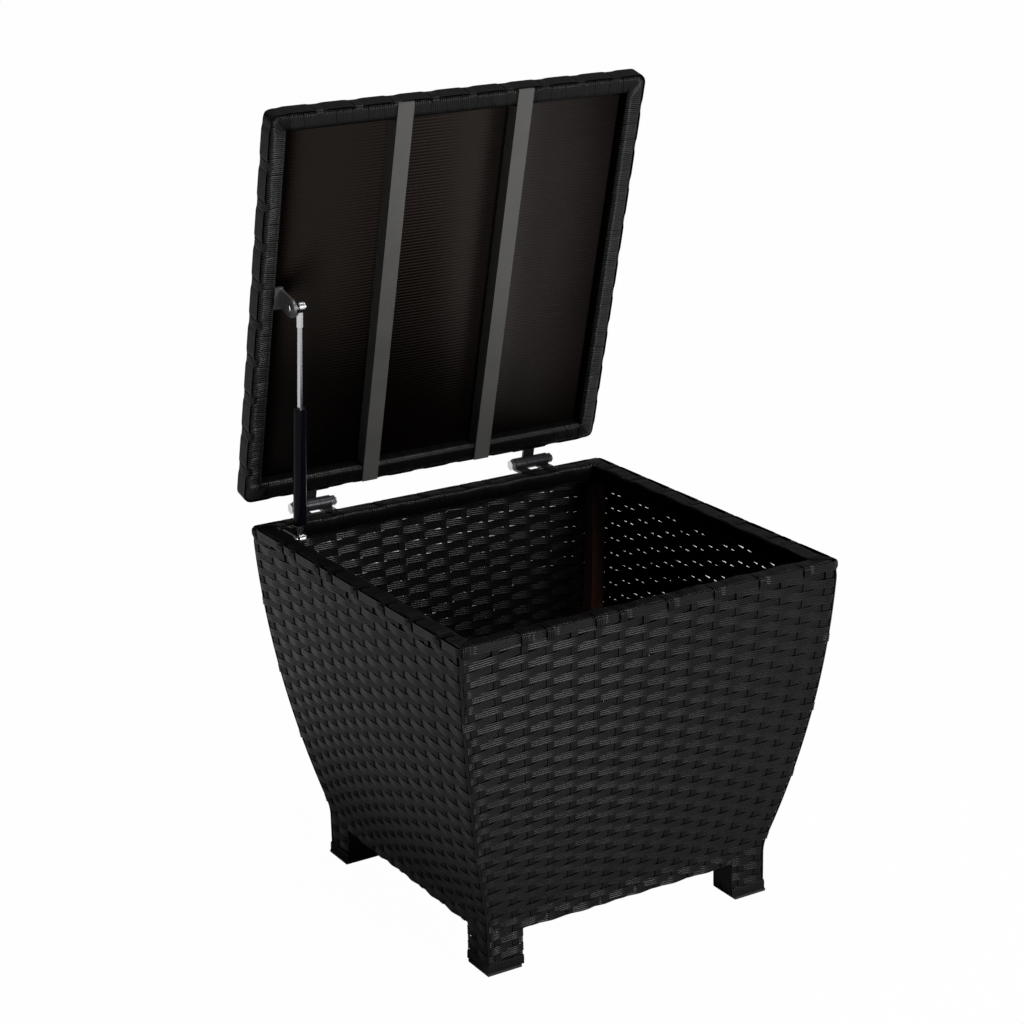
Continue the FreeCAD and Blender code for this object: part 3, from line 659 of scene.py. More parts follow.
@dataclass
class Tub(Assembly):
    """The flared woven tub: its four walls and its four legs."""

    middle_y: float = -17.063 * MM
    rim_half: float = 238.0 * MM
    rim_height: float = 402.0 * MM
    flare_radius: float = 1450.0 * MM
    turn_radius: float = 80.0 * MM
    foot_half: float = 183.0 * MM
    leg_top: float = 47.3 * MM
    wall_bottom: float = 43.0 * MM
    leg_reach: float = 45.0 * MM
    leg_band_height: float = 12.0 * MM
    corner_radius: float = 3.4 * MM
    rim_rounding: float = 5.6 * MM
    rounding_low: float = 382.0 * MM
    rounding_rise: float = 16.0 * MM
    spaces: int = 16
    first_stake: float = 0.58
    crowding: float = 0.4
    crowded_spaces: float = 2.7
    crowd_low: float = 230.0 * MM
    crowd_rise: float = 160.0 * MM
    row_pitch_low: float = 8.7 * MM
    row_pitch_high: float = 9.4 * MM
    rows: int = 40
    row_climb: float = 2.0
    row_sag: float = 1.0
    depth: float = -2.3 * MM
    swing: float = 1.35 * MM
    bend: float = 0.93
    wander_turn: float = 41.0
    corner_depth: float = -2.05 * MM
    shortest_run: float = 0.02
    row_strand: Strand = Strand(9.4 * MM, 1.3 * MM, groove=0.8 * MM, flange=0.15 * MM)
    stake_strand: Strand = Strand(8.3 * MM, 1.1 * MM, groove=0.45 * MM)
    corner_strand: Strand = Strand(2.6 * MM, 1.8 * MM, ribs=1, groove=0.4 * MM)
    band_strand: Strand = Strand(9.0 * MM, 1.5 * MM)
    band_ends: int = 5
    top_row_height: float = 396.6 * MM
    rows_end_height: float = 396.0 * MM
    top_tuck: float = 1.1 * MM
    edge_tuck: float = 1.3 * MM
    corner_row_every: int = 9
    sleeve_reach: float = 19.75 * MM
    sleeve_radius: float = 3.0 * MM
    sleeve_depth: float = 3.5 * MM
    sleeve_heights: tuple[float, ...] = (3.0 * MM, 4.0 * MM, 44.0 * MM, 50.0 * MM)
    seed: int = 5

    def __post_init__(self) -> None:
        """Works out where the large arc of the flare has its middle and where the small one takes over."""
        run, drop = self.foot_half + self.turn_radius - self.rim_half, self.rim_height - self.leg_top
        span = math.hypot(run, drop)
        lever = (2 * self.flare_radius + self.turn_radius) * self.turn_radius
        lean = math.asin((lever - span * span) / (2 * self.flare_radius * span)) - math.atan2(run, drop)
        self.flare_x = self.rim_half - self.flare_radius * math.cos(lean)
        self.flare_z = self.rim_height + self.flare_radius * math.sin(lean)
        share = self.flare_radius / (self.flare_radius + self.turn_radius)
        self.turn_height = self.flare_z + (self.leg_top - self.flare_z) * share

    def half(self, z: Array) -> Array:
        """Half the tub's width at a height: the large arc, then the small arc, then the upright leg.

        Args:
            z: Height.

        Returns:
            The half width.
        """
        large = self.flare_x + np.sqrt(self.flare_radius ** 2 - (z - self.flare_z) ** 2)
        rise = np.clip(z - self.leg_top, 0.0, self.turn_radius)
        small = self.foot_half + self.turn_radius - np.sqrt(self.turn_radius ** 2 - rise ** 2)
        return np.where(z > self.turn_height, large, small)

    def lean(self, z: Array) -> Array:
        """The wall's angle from the upright, from the slope of its half width."""
        step = 0.5 * MM
        return np.arctan((self.half(z + step) - self.half(z - step)) / (2 * step))

    def crowd(self, z: Array) -> Array:
        """How far the first stakes of a side crowd to its corner at a height: not at all halfway up."""
        return self.crowding * smooth_step((z - self.crowd_low) / self.crowd_rise)

    def stake_count(self, run: Array, z: Array) -> Array:
        """Stakes passed on the way along a side, a whole number at each stake's middle."""
        spot = run * self.spaces
        return spot - self.first_stake + self.crowd(z) * np.maximum(1 - spot / self.crowded_spaces, 0.0)

    def stake_run(self, stake: Array, z: Array) -> Array:
        """Share of the side at which a stake stands at a height, the reverse of the count.

        Args:
            stake: Stake numbers.
            z: Height.

        Returns:
            The share, 0 to 1.
        """
        even = stake + self.first_stake
        crowd = self.crowd(z)
        near = (even - crowd) / (1 - crowd / self.crowded_spaces)
        return np.where(even < self.crowded_spaces, near, even) / self.spaces

    def weave(self, strand: Strand, quarter: int, run: Array, z: Array, depth: Array | float, tone: Array,
              upright: bool = True, widths: Array | float = 1.0) -> Surface:
        """Lays strands on a side of the tub.

        A side runs from the middle of one rounded corner to the middle of the next. Along it lie half
        a quarter turn, a flat part and another half of a quarter turn.

        Args:
            strand: The strand.
            quarter: Quarter turns from the front.
            run: Share of the side's developed length, 0 to 1, strands by samples.
            z: Height.
            depth: Distance outwards from the face, less than 0 inside it.
            tone: One number for each strand.
            upright: Whether the strands run up the wall, not along it.
            widths: A share of the width, for all strands or for each.

        Returns:
            The strands.
        """
        run, z, depth = np.broadcast_arrays(run, z, depth)
        rounding = smooth_step((z - self.rounding_low) / self.rounding_rise)
        radius = self.corner_radius + self.rim_rounding * rounding
        flat = self.half(z) - radius
        lean = self.lean(z)
        reach = (run - 0.5) * 2 * (flat + radius * EIGHTH_TURN)
        bend = np.maximum(np.abs(reach) - flat, 0.0) / radius * np.sign(reach)
        sin, cos = np.sin(bend), np.cos(bend)
        along = grid_of(cos, sin, 0.0)
        upward = grid_of(sin * np.sin(lean), -cos * np.sin(lean), np.cos(lean))
        outward = grid_of(sin * np.cos(lean), -cos * np.cos(lean), -np.sin(lean))
        face = grid_of(np.clip(reach, -flat, flat) + radius * sin, -(flat + radius * cos), z)
        across = along if upright else upward
        laid = strand.laid(face + outward * depth[..., None], across, outward, tone, widths)
        return laid.moved(quarter, self.middle_y)

    def row_height(self, row: Array) -> Array:
        """Height of a row counted from the wall's bottom, with a pitch that grows evenly upwards."""
        growth = (self.row_pitch_high - self.row_pitch_low) / self.rows
        return self.wall_bottom + self.row_pitch_low * row + growth * row * row / 2

    def row_count(self, row: Array, run: Array) -> Array:
        """Row number reached along a side: it climbs two rows from corner to corner, and its ends hang."""
        return row + self.row_climb * (run - 0.5) - self.row_sag * 4 * (run - 0.5) ** 2

    def weaving_depth(self, row: Array, run: Array, z: Array) -> Array:
        """Depth of a row as it goes over and under the stakes.

        The arc sine of a cosine of the stakes passed is straight between stakes and bent over each.
        At the corners every row goes under the corner strand, but for one in a few that goes over.

        Args:
            row: Row numbers, strands by 1.
            run: Shares of the side, strands by samples.
            z: Heights, strands by samples.

        Returns:
            The depth at each sample.
        """
        passed = self.stake_count(run, z) + row
        wave = np.arcsin(self.bend * np.cos(np.pi * passed)) / math.asin(self.bend)
        for corner, number in ((0.0, row - 2), (1.0, row)):
            away = np.abs(run - corner) * 2 * self.half(z)
            near = 1 - smooth_step((away - 1 * MM) / (5 * MM))
            there = np.where(number % self.corner_row_every == 3, 1.2, -0.5)
            wave = wave * (1 - near) + there * near
        return self.depth + self.swing * wave

    def row_runs(self, zone: Zone) -> tuple[Array, Array, Array]:
        """Where rows begin and end in a zone of a side.

        Args:
            zone: The wall between the leg tops and the rim, or one of the legs.

        Returns:
            Row numbers, first shares and last shares, one for each strand.
        """
        run = np.linspace(0.0, 1.0, 3201)
        numbers = np.arange(-8, self.rows + 6)
        z = self.row_height(self.row_count(numbers[:, None], run))
        edge = self.wall_bottom + self.row_strand.width * 0.5
        if zone is Zone.WALL:
            inside = (z >= edge - self.row_pitch_low) & (z <= self.rows_end_height)
        else:
            reach = self.leg_reach / (2 * self.foot_half)
            near = run <= reach if zone is Zone.LEG_AT_START else run >= 1 - reach
            inside = (z < edge) & (z > self.leg_band_height - 3 * MM) & near
        change = np.diff(np.pad(inside, ((0, 0), (1, 1))).astype(int), axis=1)
        rows, first = np.nonzero(change == 1)
        _, last = np.nonzero(change == -1)
        start, end = run[first], run[last - 1]
        long_enough = end - start > self.shortest_run
        return numbers[rows][long_enough], start[long_enough], end[long_enough]

    def rows_of(self, quarter: int, zone: Zone, samples: int) -> Surface:
        """The lengthwise strands of a zone, tucked in under the rim and at their lower edge.

        Args:
            quarter: Quarter turns from the front.
            zone: The zone.
            samples: Path points on each strand.

        Returns:
            The strands.
        """
        numbers, start, end = self.row_runs(zone)
        on_wall = zone is Zone.WALL
        chance = np.random.default_rng(self.seed + 10 * quarter + len(zone.value))
        row = numbers[:, None]
        run = start[:, None] + (end - start)[:, None] * np.linspace(0.0, 1.0, samples)
        phase, size = chance.uniform(0, 6.28, row.shape), chance.uniform(0.01, 0.02, row.shape)
        wander = np.sin(run * self.wander_turn + phase) * size
        z = self.row_height(self.row_count(row, run) + wander * np.sin(np.pi * run))
        edge = self.wall_bottom + self.row_strand.width * 0.5 if on_wall else self.leg_band_height
        tuck = (self.top_tuck * smooth_step((z - (self.rows_end_height - 18 * MM)) / (13 * MM))
                + self.edge_tuck * smooth_step((edge - z) / (5 * MM) + (0.0 if on_wall else 1.0)))
        depth = self.weaving_depth(row, run, z) - tuck
        z = np.maximum(z, edge) if on_wall else z
        width = chance.uniform(0.985, 1.01, len(numbers))
        tone = chance.uniform(0.6, 0.85, len(numbers))
        return self.weave(self.row_strand, quarter, run, z, depth, tone, False, width)

    def stakes_of(self, quarter: int, zone: Zone, samples: int) -> Surface:
        """The upright strands of a zone, the one at the first corner among them.

        Args:
            quarter: Quarter turns from the front.
            zone: The zone.
            samples: Path points on each strand.

        Returns:
            The strands.
        """
        chance = np.random.default_rng(self.seed + 100 + 10 * quarter + len(zone.value))
        low, high = self.leg_band_height - 2 * MM, self.wall_bottom + 1 * MM
        spots = np.arange(2) + (self.spaces - 2 if zone is Zone.LEG_AT_END else 0)
        if zone is Zone.WALL:
            spots, low, high = np.arange(self.spaces), high, self.rim_height - 9.5 * MM
        z = np.linspace(low, high, samples)[None]
        run = self.stake_run((spots + chance.uniform(-0.03, 0.03, len(spots)))[:, None], z)
        # painted shade: stakes toned darker than the rows, so the bits between the rows are painted darker
        tone = chance.uniform(-0.1, 0.2, len(spots))
        stakes = self.weave(self.stake_strand, quarter, run, z, self.depth, tone)
        if zone is Zone.LEG_AT_END:
            return stakes
        corner = self.weave(self.corner_strand, quarter, np.zeros((1, 1)), z, self.corner_depth,
                            np.zeros(1))
        return Surface.joined([stakes, corner])

    def leg_band(self, corner: int) -> Surface:
        """The strand ends that close a leg, standing side by side round its two outer faces.

        Args:
            corner: Quarter turns from the front left corner.

        Returns:
            The strand ends.
        """
        parts = []
        for quarter, away in ((corner, 0.0), ((corner - 1) % 4, 1.0)):
            share = self.leg_reach / (2 * self.foot_half)
            spots = (np.arange(self.band_ends) + 0.5) * share / self.band_ends
            run = np.abs(away - spots)[:, None]
            z = np.linspace(3.2 * MM, self.leg_band_height + 1.5 * MM, 5)[None]
            bulge = -0.9 * MM * (1 + smooth_step((z - self.leg_band_height + 2 * MM) / (4 * MM)))
            tone = np.random.default_rng(self.seed + 200 + quarter).uniform(0.3, 1.0, len(spots))
            parts.append(self.weave(self.band_strand, quarter, run, z, bulge, tone))
        return Surface.joined(parts)

    def leg_core(self, corner: int) -> Surface:
        """The painted post sleeve behind the weave: a rounded square carried straight up.

        Args:
            corner: Quarter turns from the front left corner.

        Returns:
            The closed sleeve.
        """
        flat = self.sleeve_reach - self.sleeve_radius
        outline = np.concatenate([arc(x * flat, y * flat, self.sleeve_radius, start, start + 90, 6)
                                  for x, y, start in ((1, 1, 0), (-1, 1, 90), (-1, -1, 180), (1, -1, 270))])
        outline -= self.foot_half - self.sleeve_depth - self.sleeve_reach
        heights = np.array(self.sleeve_heights)
        grid = turned(grid_of(outline[None, :, 0], outline[None, :, 1], heights[:, None]), corner)
        grid[..., 1] += self.middle_y
        return Surface.carried(grid, heights)

    def build(self) -> None:
        """Makes the walls' rows and stakes, and the legs."""
        for side in Side:
            name = f"wall_{side.word}"
            self.piece(f"{name}_rows", self.rows_of(side.value, Zone.WALL, 113), name)
            self.piece(f"{name}_stakes", self.stakes_of(side.value, Zone.WALL, 81))
        for corner in Corner:
            here, before = corner.value, (corner.value - 1) % 4
            woven = Surface.joined([
                self.rows_of(here, Zone.LEG_AT_START, 17), self.rows_of(before, Zone.LEG_AT_END, 17),
                self.stakes_of(here, Zone.LEG_AT_START, 9), self.stakes_of(before, Zone.LEG_AT_END, 9),
                self.leg_band(here)])
            self.piece(f"leg_weave_{corner.word}", woven, f"leg_wrap_{corner.word}")
            self.piece(f"leg_sleeve_{corner.word}", self.leg_core(here), "", "frame_steel", "leg_paint")


# Wound members


@dataclass
class WoundRing:
    """The front side of a square ring whose sides are wound across with ribbed strand."""

    half: float
    corner_radius: float
    fan: float
    section: Array
    bare_from: int
    pitch: float = 9.6 * MM
    ribs: int = 4
    groove: float = 0.8 * MM
    slant: float = 1.6 * MM
    ripple: float = 0.0
    ripple_length: float = 58.0 * MM
    # painted highlight: section points whose tone is raised on every side, and on the left and right sides
    # too, and by how much
    shine: tuple[int, ...] = ()
    side_shine: tuple[int, ...] = ()
    ridge_shine: float = 1.2
    tube_radius: float = 2.0 * MM
    deep_joint: Pair = (0.9, 1.6)
    shallow_joint: Pair = (0.5, 0.8)
    end_fade: float = 12.0 * MM
    dip: float = 1.0 * MM
    dip_hold: float = 3.5 * MM
    dip_ease: float = 7.0 * MM
    dip_samples: int = 14
    seed: int = 11

    def __post_init__(self) -> None:
        """Works out half the developed length of a side along the outer line."""
        self.reach = self.half - self.corner_radius + self.corner_radius * EIGHTH_TURN

    def place(self, reach: Array, inset: Array | float, z: Array | float) -> Array:
        """Points of the front side of the ring.

        The straight part keeps its place at every inset. Near the corners the outer length is squeezed
        into the shorter inner one, so the winding fans out round the corner.

        Args:
            reach: Developed length along the outer line, from the side's middle.
            inset: Distance in from the outer face.
            z: Height.

        Returns:
            The points.
        """
        radius = np.maximum(self.corner_radius - inset, 0.6 * MM)
        flat = self.half - inset - radius
        straight = self.half - self.fan
        length = flat + radius * EIGHTH_TURN
        size = np.abs(reach)
        fanned = straight + (size - straight) * (length - straight) / (self.reach - straight)
        along = np.where(size < straight, size, fanned) * np.sign(reach)
        bend = np.maximum(np.abs(along) - flat, 0.0) / radius * np.sign(along)
        x = np.clip(along, -flat, flat) + radius * np.sin(bend)
        return grid_of(x, -(flat + radius * np.cos(bend)), z)

    def skin(self, quarter: int) -> Surface:
        """The winding of one side.

        Along the member the face sinks into a groove between ribs and deeper between strands. Each
        joint between strands has its own depth, and slants a little round the section.

        Args:
            quarter: Quarter turns from the front, for the side's own chances.

        Returns:
            The closed winding.
        """
        chance = np.random.default_rng(self.seed + quarter)
        turns = round(2 * self.reach / self.pitch)
        joints = np.arange(turns + 1)
        steps = 2 * self.ribs
        number = np.arange(turns * steps + 1)
        valley = np.where(number % 2 == 0, self.groove, 0.0)
        valley[::steps] = np.where(joints % 2 == 0, chance.uniform(*self.deep_joint, turns + 1),
                                   chance.uniform(*self.shallow_joint, turns + 1)) * MM
        spot = np.linspace(-self.reach, self.reach, len(number))
        lean = np.interp(number, joints * steps, chance.uniform(-1.0, 1.0, turns + 1) * self.slant)
        fade = smooth_step((self.reach - np.abs(spot)) / self.end_fade)
        round_number = np.arange(len(self.section))
        sway = np.sin(round_number * 2 * np.pi / len(self.section))
        along = spot[:, None] + (lean * fade)[:, None] * sway
        tangent = unit(np.roll(self.section, -1, 0) - np.roll(self.section, 1, 0))
        normal = np.stack([tangent[:, 1], -tangent[:, 0]], -1)
        towards = np.sum(normal * (self.section - self.section[:self.bare_from].mean(0)))
        normal = normal if towards > 0 else -normal
        sink = valley[:, None] * (round_number < self.bare_from)
        tone = np.repeat(chance.uniform(0.5, 0.8, turns), steps)
        crest = np.clip(1 - valley / self.groove, 0.0, 1.0)
        # painted highlight: the listed section points get a raised tone, which paints them pale and
        # glossier
        painted_shining = np.isin(round_number, self.shine + self.side_shine * (quarter % 2))
        # painted light and shade: crests toned paler than the grooves
        tone = shaded(np.append(tone, tone[-1]), crest)[:, None]
        tone = tone + crest[:, None] * self.ridge_shine * painted_shining
        inset = self.section[:, 0] - normal[:, 0] * sink
        wave = self.ripple * np.cos(2 * np.pi * along / self.ripple_length) * fade[:, None]
        z = self.section[:, 1] - normal[:, 1] * sink + wave
        grid = self.place(np.clip(along, -self.reach, self.reach), inset, z)
        return Surface.carried(grid, spot, tone, ribbed=True)

    def tube(self, near: float, far: float, low: float, high: float) -> Surface:
        """The square tube inside a side's winding, a rounded rectangle carried along the side.

        Args:
            near: Inset of its outer face.
            far: Inset of its inner face.
            low: Height of its lower face.
            high: Height of its upper face.

        Returns:
            The closed tube.
        """
        radius = self.tube_radius
        corners = ((near + radius, low + radius, 270), (near + radius, high - radius, 180),
                   (far - radius, high - radius, 90), (far - radius, low + radius, 0))
        outline = np.concatenate([arc(x, z, radius, start, start - 90, 4) for x, z, start in corners])
        spot = np.linspace(-self.reach, self.reach, 61)
        return Surface.carried(self.place(spot[:, None], outline[:, 0], outline[:, 1]), spot)

    def lengthwise(self, strand: Strand, inset: float, z: float, tone: Array, spacing: float,
                   start: float) -> Surface:
        """A strand along a side's outer face that dips under a winding at even spaces.

        Args:
            strand: The strand.
            inset: How far in its middle lies.
            z: Its height.
            tone: Its tone, a row of one number.
            spacing: Length from crossing to crossing.
            start: Place of the first crossing from the side's middle.

        Returns:
            The strand.
        """
        count = round(2 * self.reach / spacing) * self.dip_samples + 1
        spot = np.linspace(-self.reach, self.reach, count)[None]
        phase = (spot - start) / spacing
        near = np.abs(phase - np.round(phase)) * spacing
        sunk = self.dip * (1 - smooth_step((near - self.dip_hold) / self.dip_ease))
        outward = unit(self.place(spot, inset - 1 * MM, z) - self.place(spot, inset, z))
        return strand.laid(self.place(spot, inset + sunk, z), np.array([0.0, 0.0, 1.0]), outward, tone)

    def over(self, strand: Strand, path: Array, spots: Array, tone: Array, rise: int) -> Surface:
        """Short strands across the side that all follow one path of the section's plane.

        Args:
            strand: The strand.
            path: Points of inset and height.
            spots: Developed lengths at which they lie, from the side's middle.
            tone: One number for each.
            rise: The sense of the outward direction's upright part along the path, 1 or -1.

        Returns:
            The strands.
        """
        tangent = unit(np.gradient(path, axis=0))
        outward = grid_of(0.0, -tangent[:, 1], rise * tangent[:, 0])
        centre = self.place(spots[:, None], path[:, 0], path[:, 1])
        return strand.laid(centre, np.array([1.0, 0.0, 0.0]), outward, tone)


@dataclass
class Rim(Assembly):
    """The tub's rim: wound over its top, with a lengthwise strand along the outside."""

    tub: Tub
    winding_thickness: float = 1.6 * MM
    inner_drop: float = 15.0 * MM
    row_strand: Strand = Strand(9.7 * MM, 1.3 * MM)
    stake_strand: Strand = Strand(8.6 * MM, 1.2 * MM)
    crossed: tuple[int, ...] = (0, 2, 3, 5, 6, 8, 10, 12, 14)

    def __post_init__(self) -> None:
        """Makes the ring that the winding follows.

        Its section goes up the outside, over the top and a little way down inside, then back.
        """
        top = self.tub.rim_height - 0.4 * MM
        outer = np.concatenate([
            [[4.2 * MM, top - 9 * MM]], arc(7.7 * MM, top - 3.5 * MM, 3.5 * MM, 180, 90, 6),
            [[14.0 * MM, top]], arc(21.0 * MM, top - 3.0 * MM, 3.0 * MM, 90, 0, 6),
            [[24.0 * MM, top - 3 * MM - self.inner_drop]]])
        tangent = unit(np.gradient(outer, axis=0))
        inner = outer + np.stack([tangent[:, 1], -tangent[:, 0]], -1) * self.winding_thickness
        section = np.concatenate([outer, inner[::-1]])
        # painted highlight along the inner top edge of the rim, by the listed section points
        self.ring = WoundRing(self.tub.rim_half, corner_radius=9.0 * MM, fan=27.0 * MM, section=section,
                              bare_from=len(outer), ripple=0.6 * MM, shine=(10, 11), seed=21)

    def top_row(self, quarter: int) -> Surface:
        """The strand along the rim's outer face, under the stakes that cross it.

        Args:
            quarter: Quarter turns from the front.

        Returns:
            The strand.
        """
        tub = self.tub
        run = np.linspace(0.0, 1.0, 257)[None]
        z = np.full_like(run, tub.top_row_height)
        count = tub.stake_count(run, z)
        stake = np.round(count)
        away = np.abs(count - stake) + np.where(np.isin(stake, self.crossed), 0.0, 1.0)
        depth = -0.75 * MM - 1.4 * MM * (1 - smooth_step((away - 0.12) / 0.2))
        tone = np.random.default_rng(300 + quarter).uniform(0.5, 1.0, 1)
        return tub.weave(self.row_strand, quarter, run, z, depth, tone, upright=False)

    def stake_tops(self, quarter: int) -> Surface:
        """The stakes that cross the top row, about every second one, and turn in over the rim's top.

        Args:
            quarter: Quarter turns from the front.

        Returns:
            The stakes' ends, on the front side.
        """
        tub = self.tub
        row, top = tub.top_row_height, tub.rim_height + 0.2 * MM
        path = np.concatenate([
            [[2.3 * MM, row - 8.0 * MM], [1.2 * MM, row - 5.2 * MM], [0.35 * MM, row - 2.5 * MM]],
            arc(4.4 * MM, top - 4.2 * MM, 4.05 * MM, 180, 90, 7),
            [[12.0 * MM, top - 0.15 * MM], [18.0 * MM, top - 0.6 * MM]]])
        spots = (tub.stake_run(np.array(self.crossed), np.array(row)) - 0.5) * 2 * self.ring.reach
        # painted shade: the stakes' ends toned darker than the rows
        tone = np.random.default_rng(320 + quarter).uniform(-0.5, 0.1, len(spots))
        return self.ring.over(self.stake_strand, path, spots, tone, 1)

    def build(self) -> None:
        """Makes the rim's winding and its core, side by side."""
        shift, top = self.tub.middle_y, self.tub.rim_height
        for side in Side:
            quarter = side.value
            wound = [self.ring.skin(quarter).moved(quarter, shift), self.top_row(quarter),
                     self.stake_tops(quarter).moved(quarter, shift)]
            self.piece(f"rim_winding_{side.word}", Surface.joined(wound), f"rim_wrap_{side.word}")
            # the rim's core: near black, painted shade inside the rim
            core = self.ring.tube(5.6 * MM, 22.2 * MM, top - 22.0 * MM, top - 2.8 * MM)
            self.piece(f"rim_core_{side.word}", core.moved(quarter, shift), f"rim_tube_{side.word}",
                       "frame_steel", "core_black")


# The lid


@dataclass
class Lid(Assembly):
    """The lid, worked out shut and swung open: wound frame, fluted board and woven top."""

    tub: Tub
    body: ClassVar[str] = "lid"
    half: float = 238.5 * MM
    bottom: float = 404.0 * MM
    depth: float = 23.0 * MM
    corner_radius: float = 12.0 * MM
    hinge_y: float = 256.5 * MM
    hinge_z: float = 406.0 * MM
    open_angle: float = math.radians(75.0)
    inner_half: float = 215.5 * MM
    long_strand: Strand = Strand(9.4 * MM, 1.2 * MM)
    cross_strand: Strand = Strand(9.0 * MM, 1.1 * MM)
    cross_spacing: float = 47.0 * MM
    cross_start: float = 9.0 * MM
    board_low: float = 420.0 * MM
    board_high: float = 424.0 * MM
    flute_pitch: float = 3.75 * MM
    flute_depth: float = 0.3 * MM
    top_rows: int = 46
    top_stakes: int = 15
    top_swing: float = 1.1 * MM
    top_strand: Strand = Strand(9.6 * MM, 1.2 * MM)
    top_stake_strand: Strand = Strand(8.4 * MM, 1.1 * MM)

    def __post_init__(self) -> None:
        """Makes the ring that the winding follows.

        Its section is a square whose faces swell: fourth powers of both axes add up to one.
        """
        self.top = self.bottom + self.depth
        low, high = self.bottom + 0.4 * MM, self.top - 0.3 * MM
        near, far = 1.4 * MM, self.half - self.inner_half
        turn = np.linspace(1.5 * np.pi, -0.5 * np.pi, 32, endpoint=False)
        across, up = np.cos(turn), np.sin(turn)
        size = (across ** 4 + up ** 4) ** -0.25
        section = np.stack([(near + far) / 2 + across * size * (far - near) / 2,
                            (low + high) / 2 + up * size * (high - low) / 2], -1)
        # painted highlight: a band along the members' underside, wider on the left and right members
        self.ring = WoundRing(self.half, self.corner_radius, fan=26.0 * MM, section=section,
                              bare_from=len(section), shine=(27, 28),
                              side_shine=(29, 30, 31, 0, 1, 2, 3), seed=31)

    def swung(self, surface: Surface) -> Surface:
        """Swings the shut lid's points open about the hinge line and shifts them to the part's frame.

        Args:
            surface: A surface of the shut lid.

        Returns:
            The same surface, swung open.
        """
        cos, sin = math.cos(self.open_angle), math.sin(self.open_angle)
        x, y, z = surface.points.T
        y, z = y - self.hinge_y, z - self.hinge_z
        surface.points = grid_of(x, self.hinge_y + self.tub.middle_y + y * cos + z * sin,
                                 self.hinge_z - y * sin + z * cos)
        return surface

    def member(self, quarter: int) -> Surface:
        """One side's winding with the two lengthwise strands and the windings that cross them.

        Args:
            quarter: Quarter turns from the front.

        Returns:
            The side, swung open.
        """
        ring, low, high = self.ring, self.bottom, self.top
        spacing, start = self.cross_spacing, self.cross_start * (1 - quarter % 2 * 2)
        tone = np.random.default_rng(ring.seed + 40 + quarter).uniform(0.4, 1.0, 1)
        rows = [ring.lengthwise(self.long_strand, 0.8 * MM, low + rise, tone, spacing, start)
                for rise in (7.0 * MM, 16.4 * MM)]
        path = np.concatenate([
            [[10.0 * MM, low + 1.7 * MM], [7.0 * MM, low + 1.2 * MM]],
            arc(5.2 * MM, low + 5.4 * MM, 4.5 * MM, 262, 180, 5),
            arc(5.2 * MM, high - 5.4 * MM, 4.5 * MM, 180, 98, 5),
            [[7.0 * MM, high - 1.2 * MM], [10.0 * MM, high - 1.7 * MM]]])
        limit = ring.half - ring.fan
        first, last = math.ceil((-limit - start) / spacing), math.floor((limit - start) / spacing)
        numbers = np.arange(first, last + 1)
        tone = np.random.default_rng(ring.seed + 60 + quarter).uniform(0.2, 1.0, len(numbers))
        crossing = ring.over(self.cross_strand, path, start + numbers * spacing, tone, -1)
        return self.swung(Surface.joined([ring.skin(quarter), *rows, crossing]).moved(quarter))

    def board(self) -> Surface:
        """The fluted board: half round flutes along X, side by side from the back to the front.

        Returns:
            The board, swung open.
        """
        half = self.inner_half
        flutes = round(2 * half / self.flute_pitch)
        phase = np.linspace(0.0, flutes, flutes * 8 + 1)
        y = (phase / flutes - 0.5) * 2 * half
        z = self.board_low + self.flute_depth * (1 - np.abs(np.sin(np.pi * phase)) ** 0.7)
        back = [[half, self.board_high], [-half, self.board_high]]
        outline = np.concatenate([np.stack([y, z], -1), back])
        x = np.array([-half, half])
        return self.swung(Surface.carried(grid_of(x[:, None], outline[:, 0], outline[:, 1]), x))

    def top_weave(self) -> Surface:
        """The plain weave of the lid's top: rows along X over and under stakes along Y.

        Returns:
            The weave, swung open.
        """
        chance = np.random.default_rng(77)
        middle, reach = self.top - 1.9 * MM, self.inner_half + 2 * MM
        up = np.array([0.0, 0.0, 1.0])
        row = np.arange(self.top_rows)[:, None]
        x = np.linspace(-reach, reach, 91)
        phase = (x + reach) / (2 * reach) * self.top_stakes
        wave = np.cos(np.pi * (phase - 0.5) + np.pi * row + np.pi / 2)
        points = grid_of(x, (row + 0.5) / self.top_rows * 2 * reach - reach, middle + self.top_swing * wave)
        woven = self.top_strand.laid(points, np.array([0.0, 1.0, 0.0]), up,
                                     chance.uniform(0.6, 0.85, self.top_rows))
        stake = np.arange(self.top_stakes + 1)[:, None]
        y = np.linspace(-reach, reach, 41)
        points = grid_of(stake / self.top_stakes * 2 * reach - reach, y, middle)
        # painted shade: the stakes toned darker than the rows
        upright = self.top_stake_strand.laid(points, np.array([1.0, 0.0, 0.0]), up,
                                             chance.uniform(-0.1, 0.2, len(stake)))
        return self.swung(Surface.joined([woven, upright]))

    def build(self) -> None:
        """Makes the wound frame, the board and the woven top."""
        for side in Side:
            self.piece(f"lid_winding_{side.word}", self.member(side.value), f"lid_wrap_{side.word}")
            # the lid's core: near black, painted shade inside the winding
            core = self.ring.tube(4.5 * MM, self.half - self.inner_half - 3.0 * MM, self.bottom + 3.4 * MM,
                                  self.top - 3.4 * MM).moved(side.value)
            self.piece(f"lid_core_{side.word}", self.swung(core), f"lid_tube_{side.word}", "frame_steel",
                       "core_black")
        self.piece("lid_fluted_board", self.board(), "lid_board", "fluted_board")
        self.piece("lid_top_weave", self.top_weave(), "lid_weave")


# The studio


@dataclass(frozen=True)
class Lamp:
    """A soft upright lamp that looks at the table's middle."""

    name: str
    place: Triple
    width: float
    height: float
    power: float
    aim: Triple = (0.0, 0.0, 0.4)


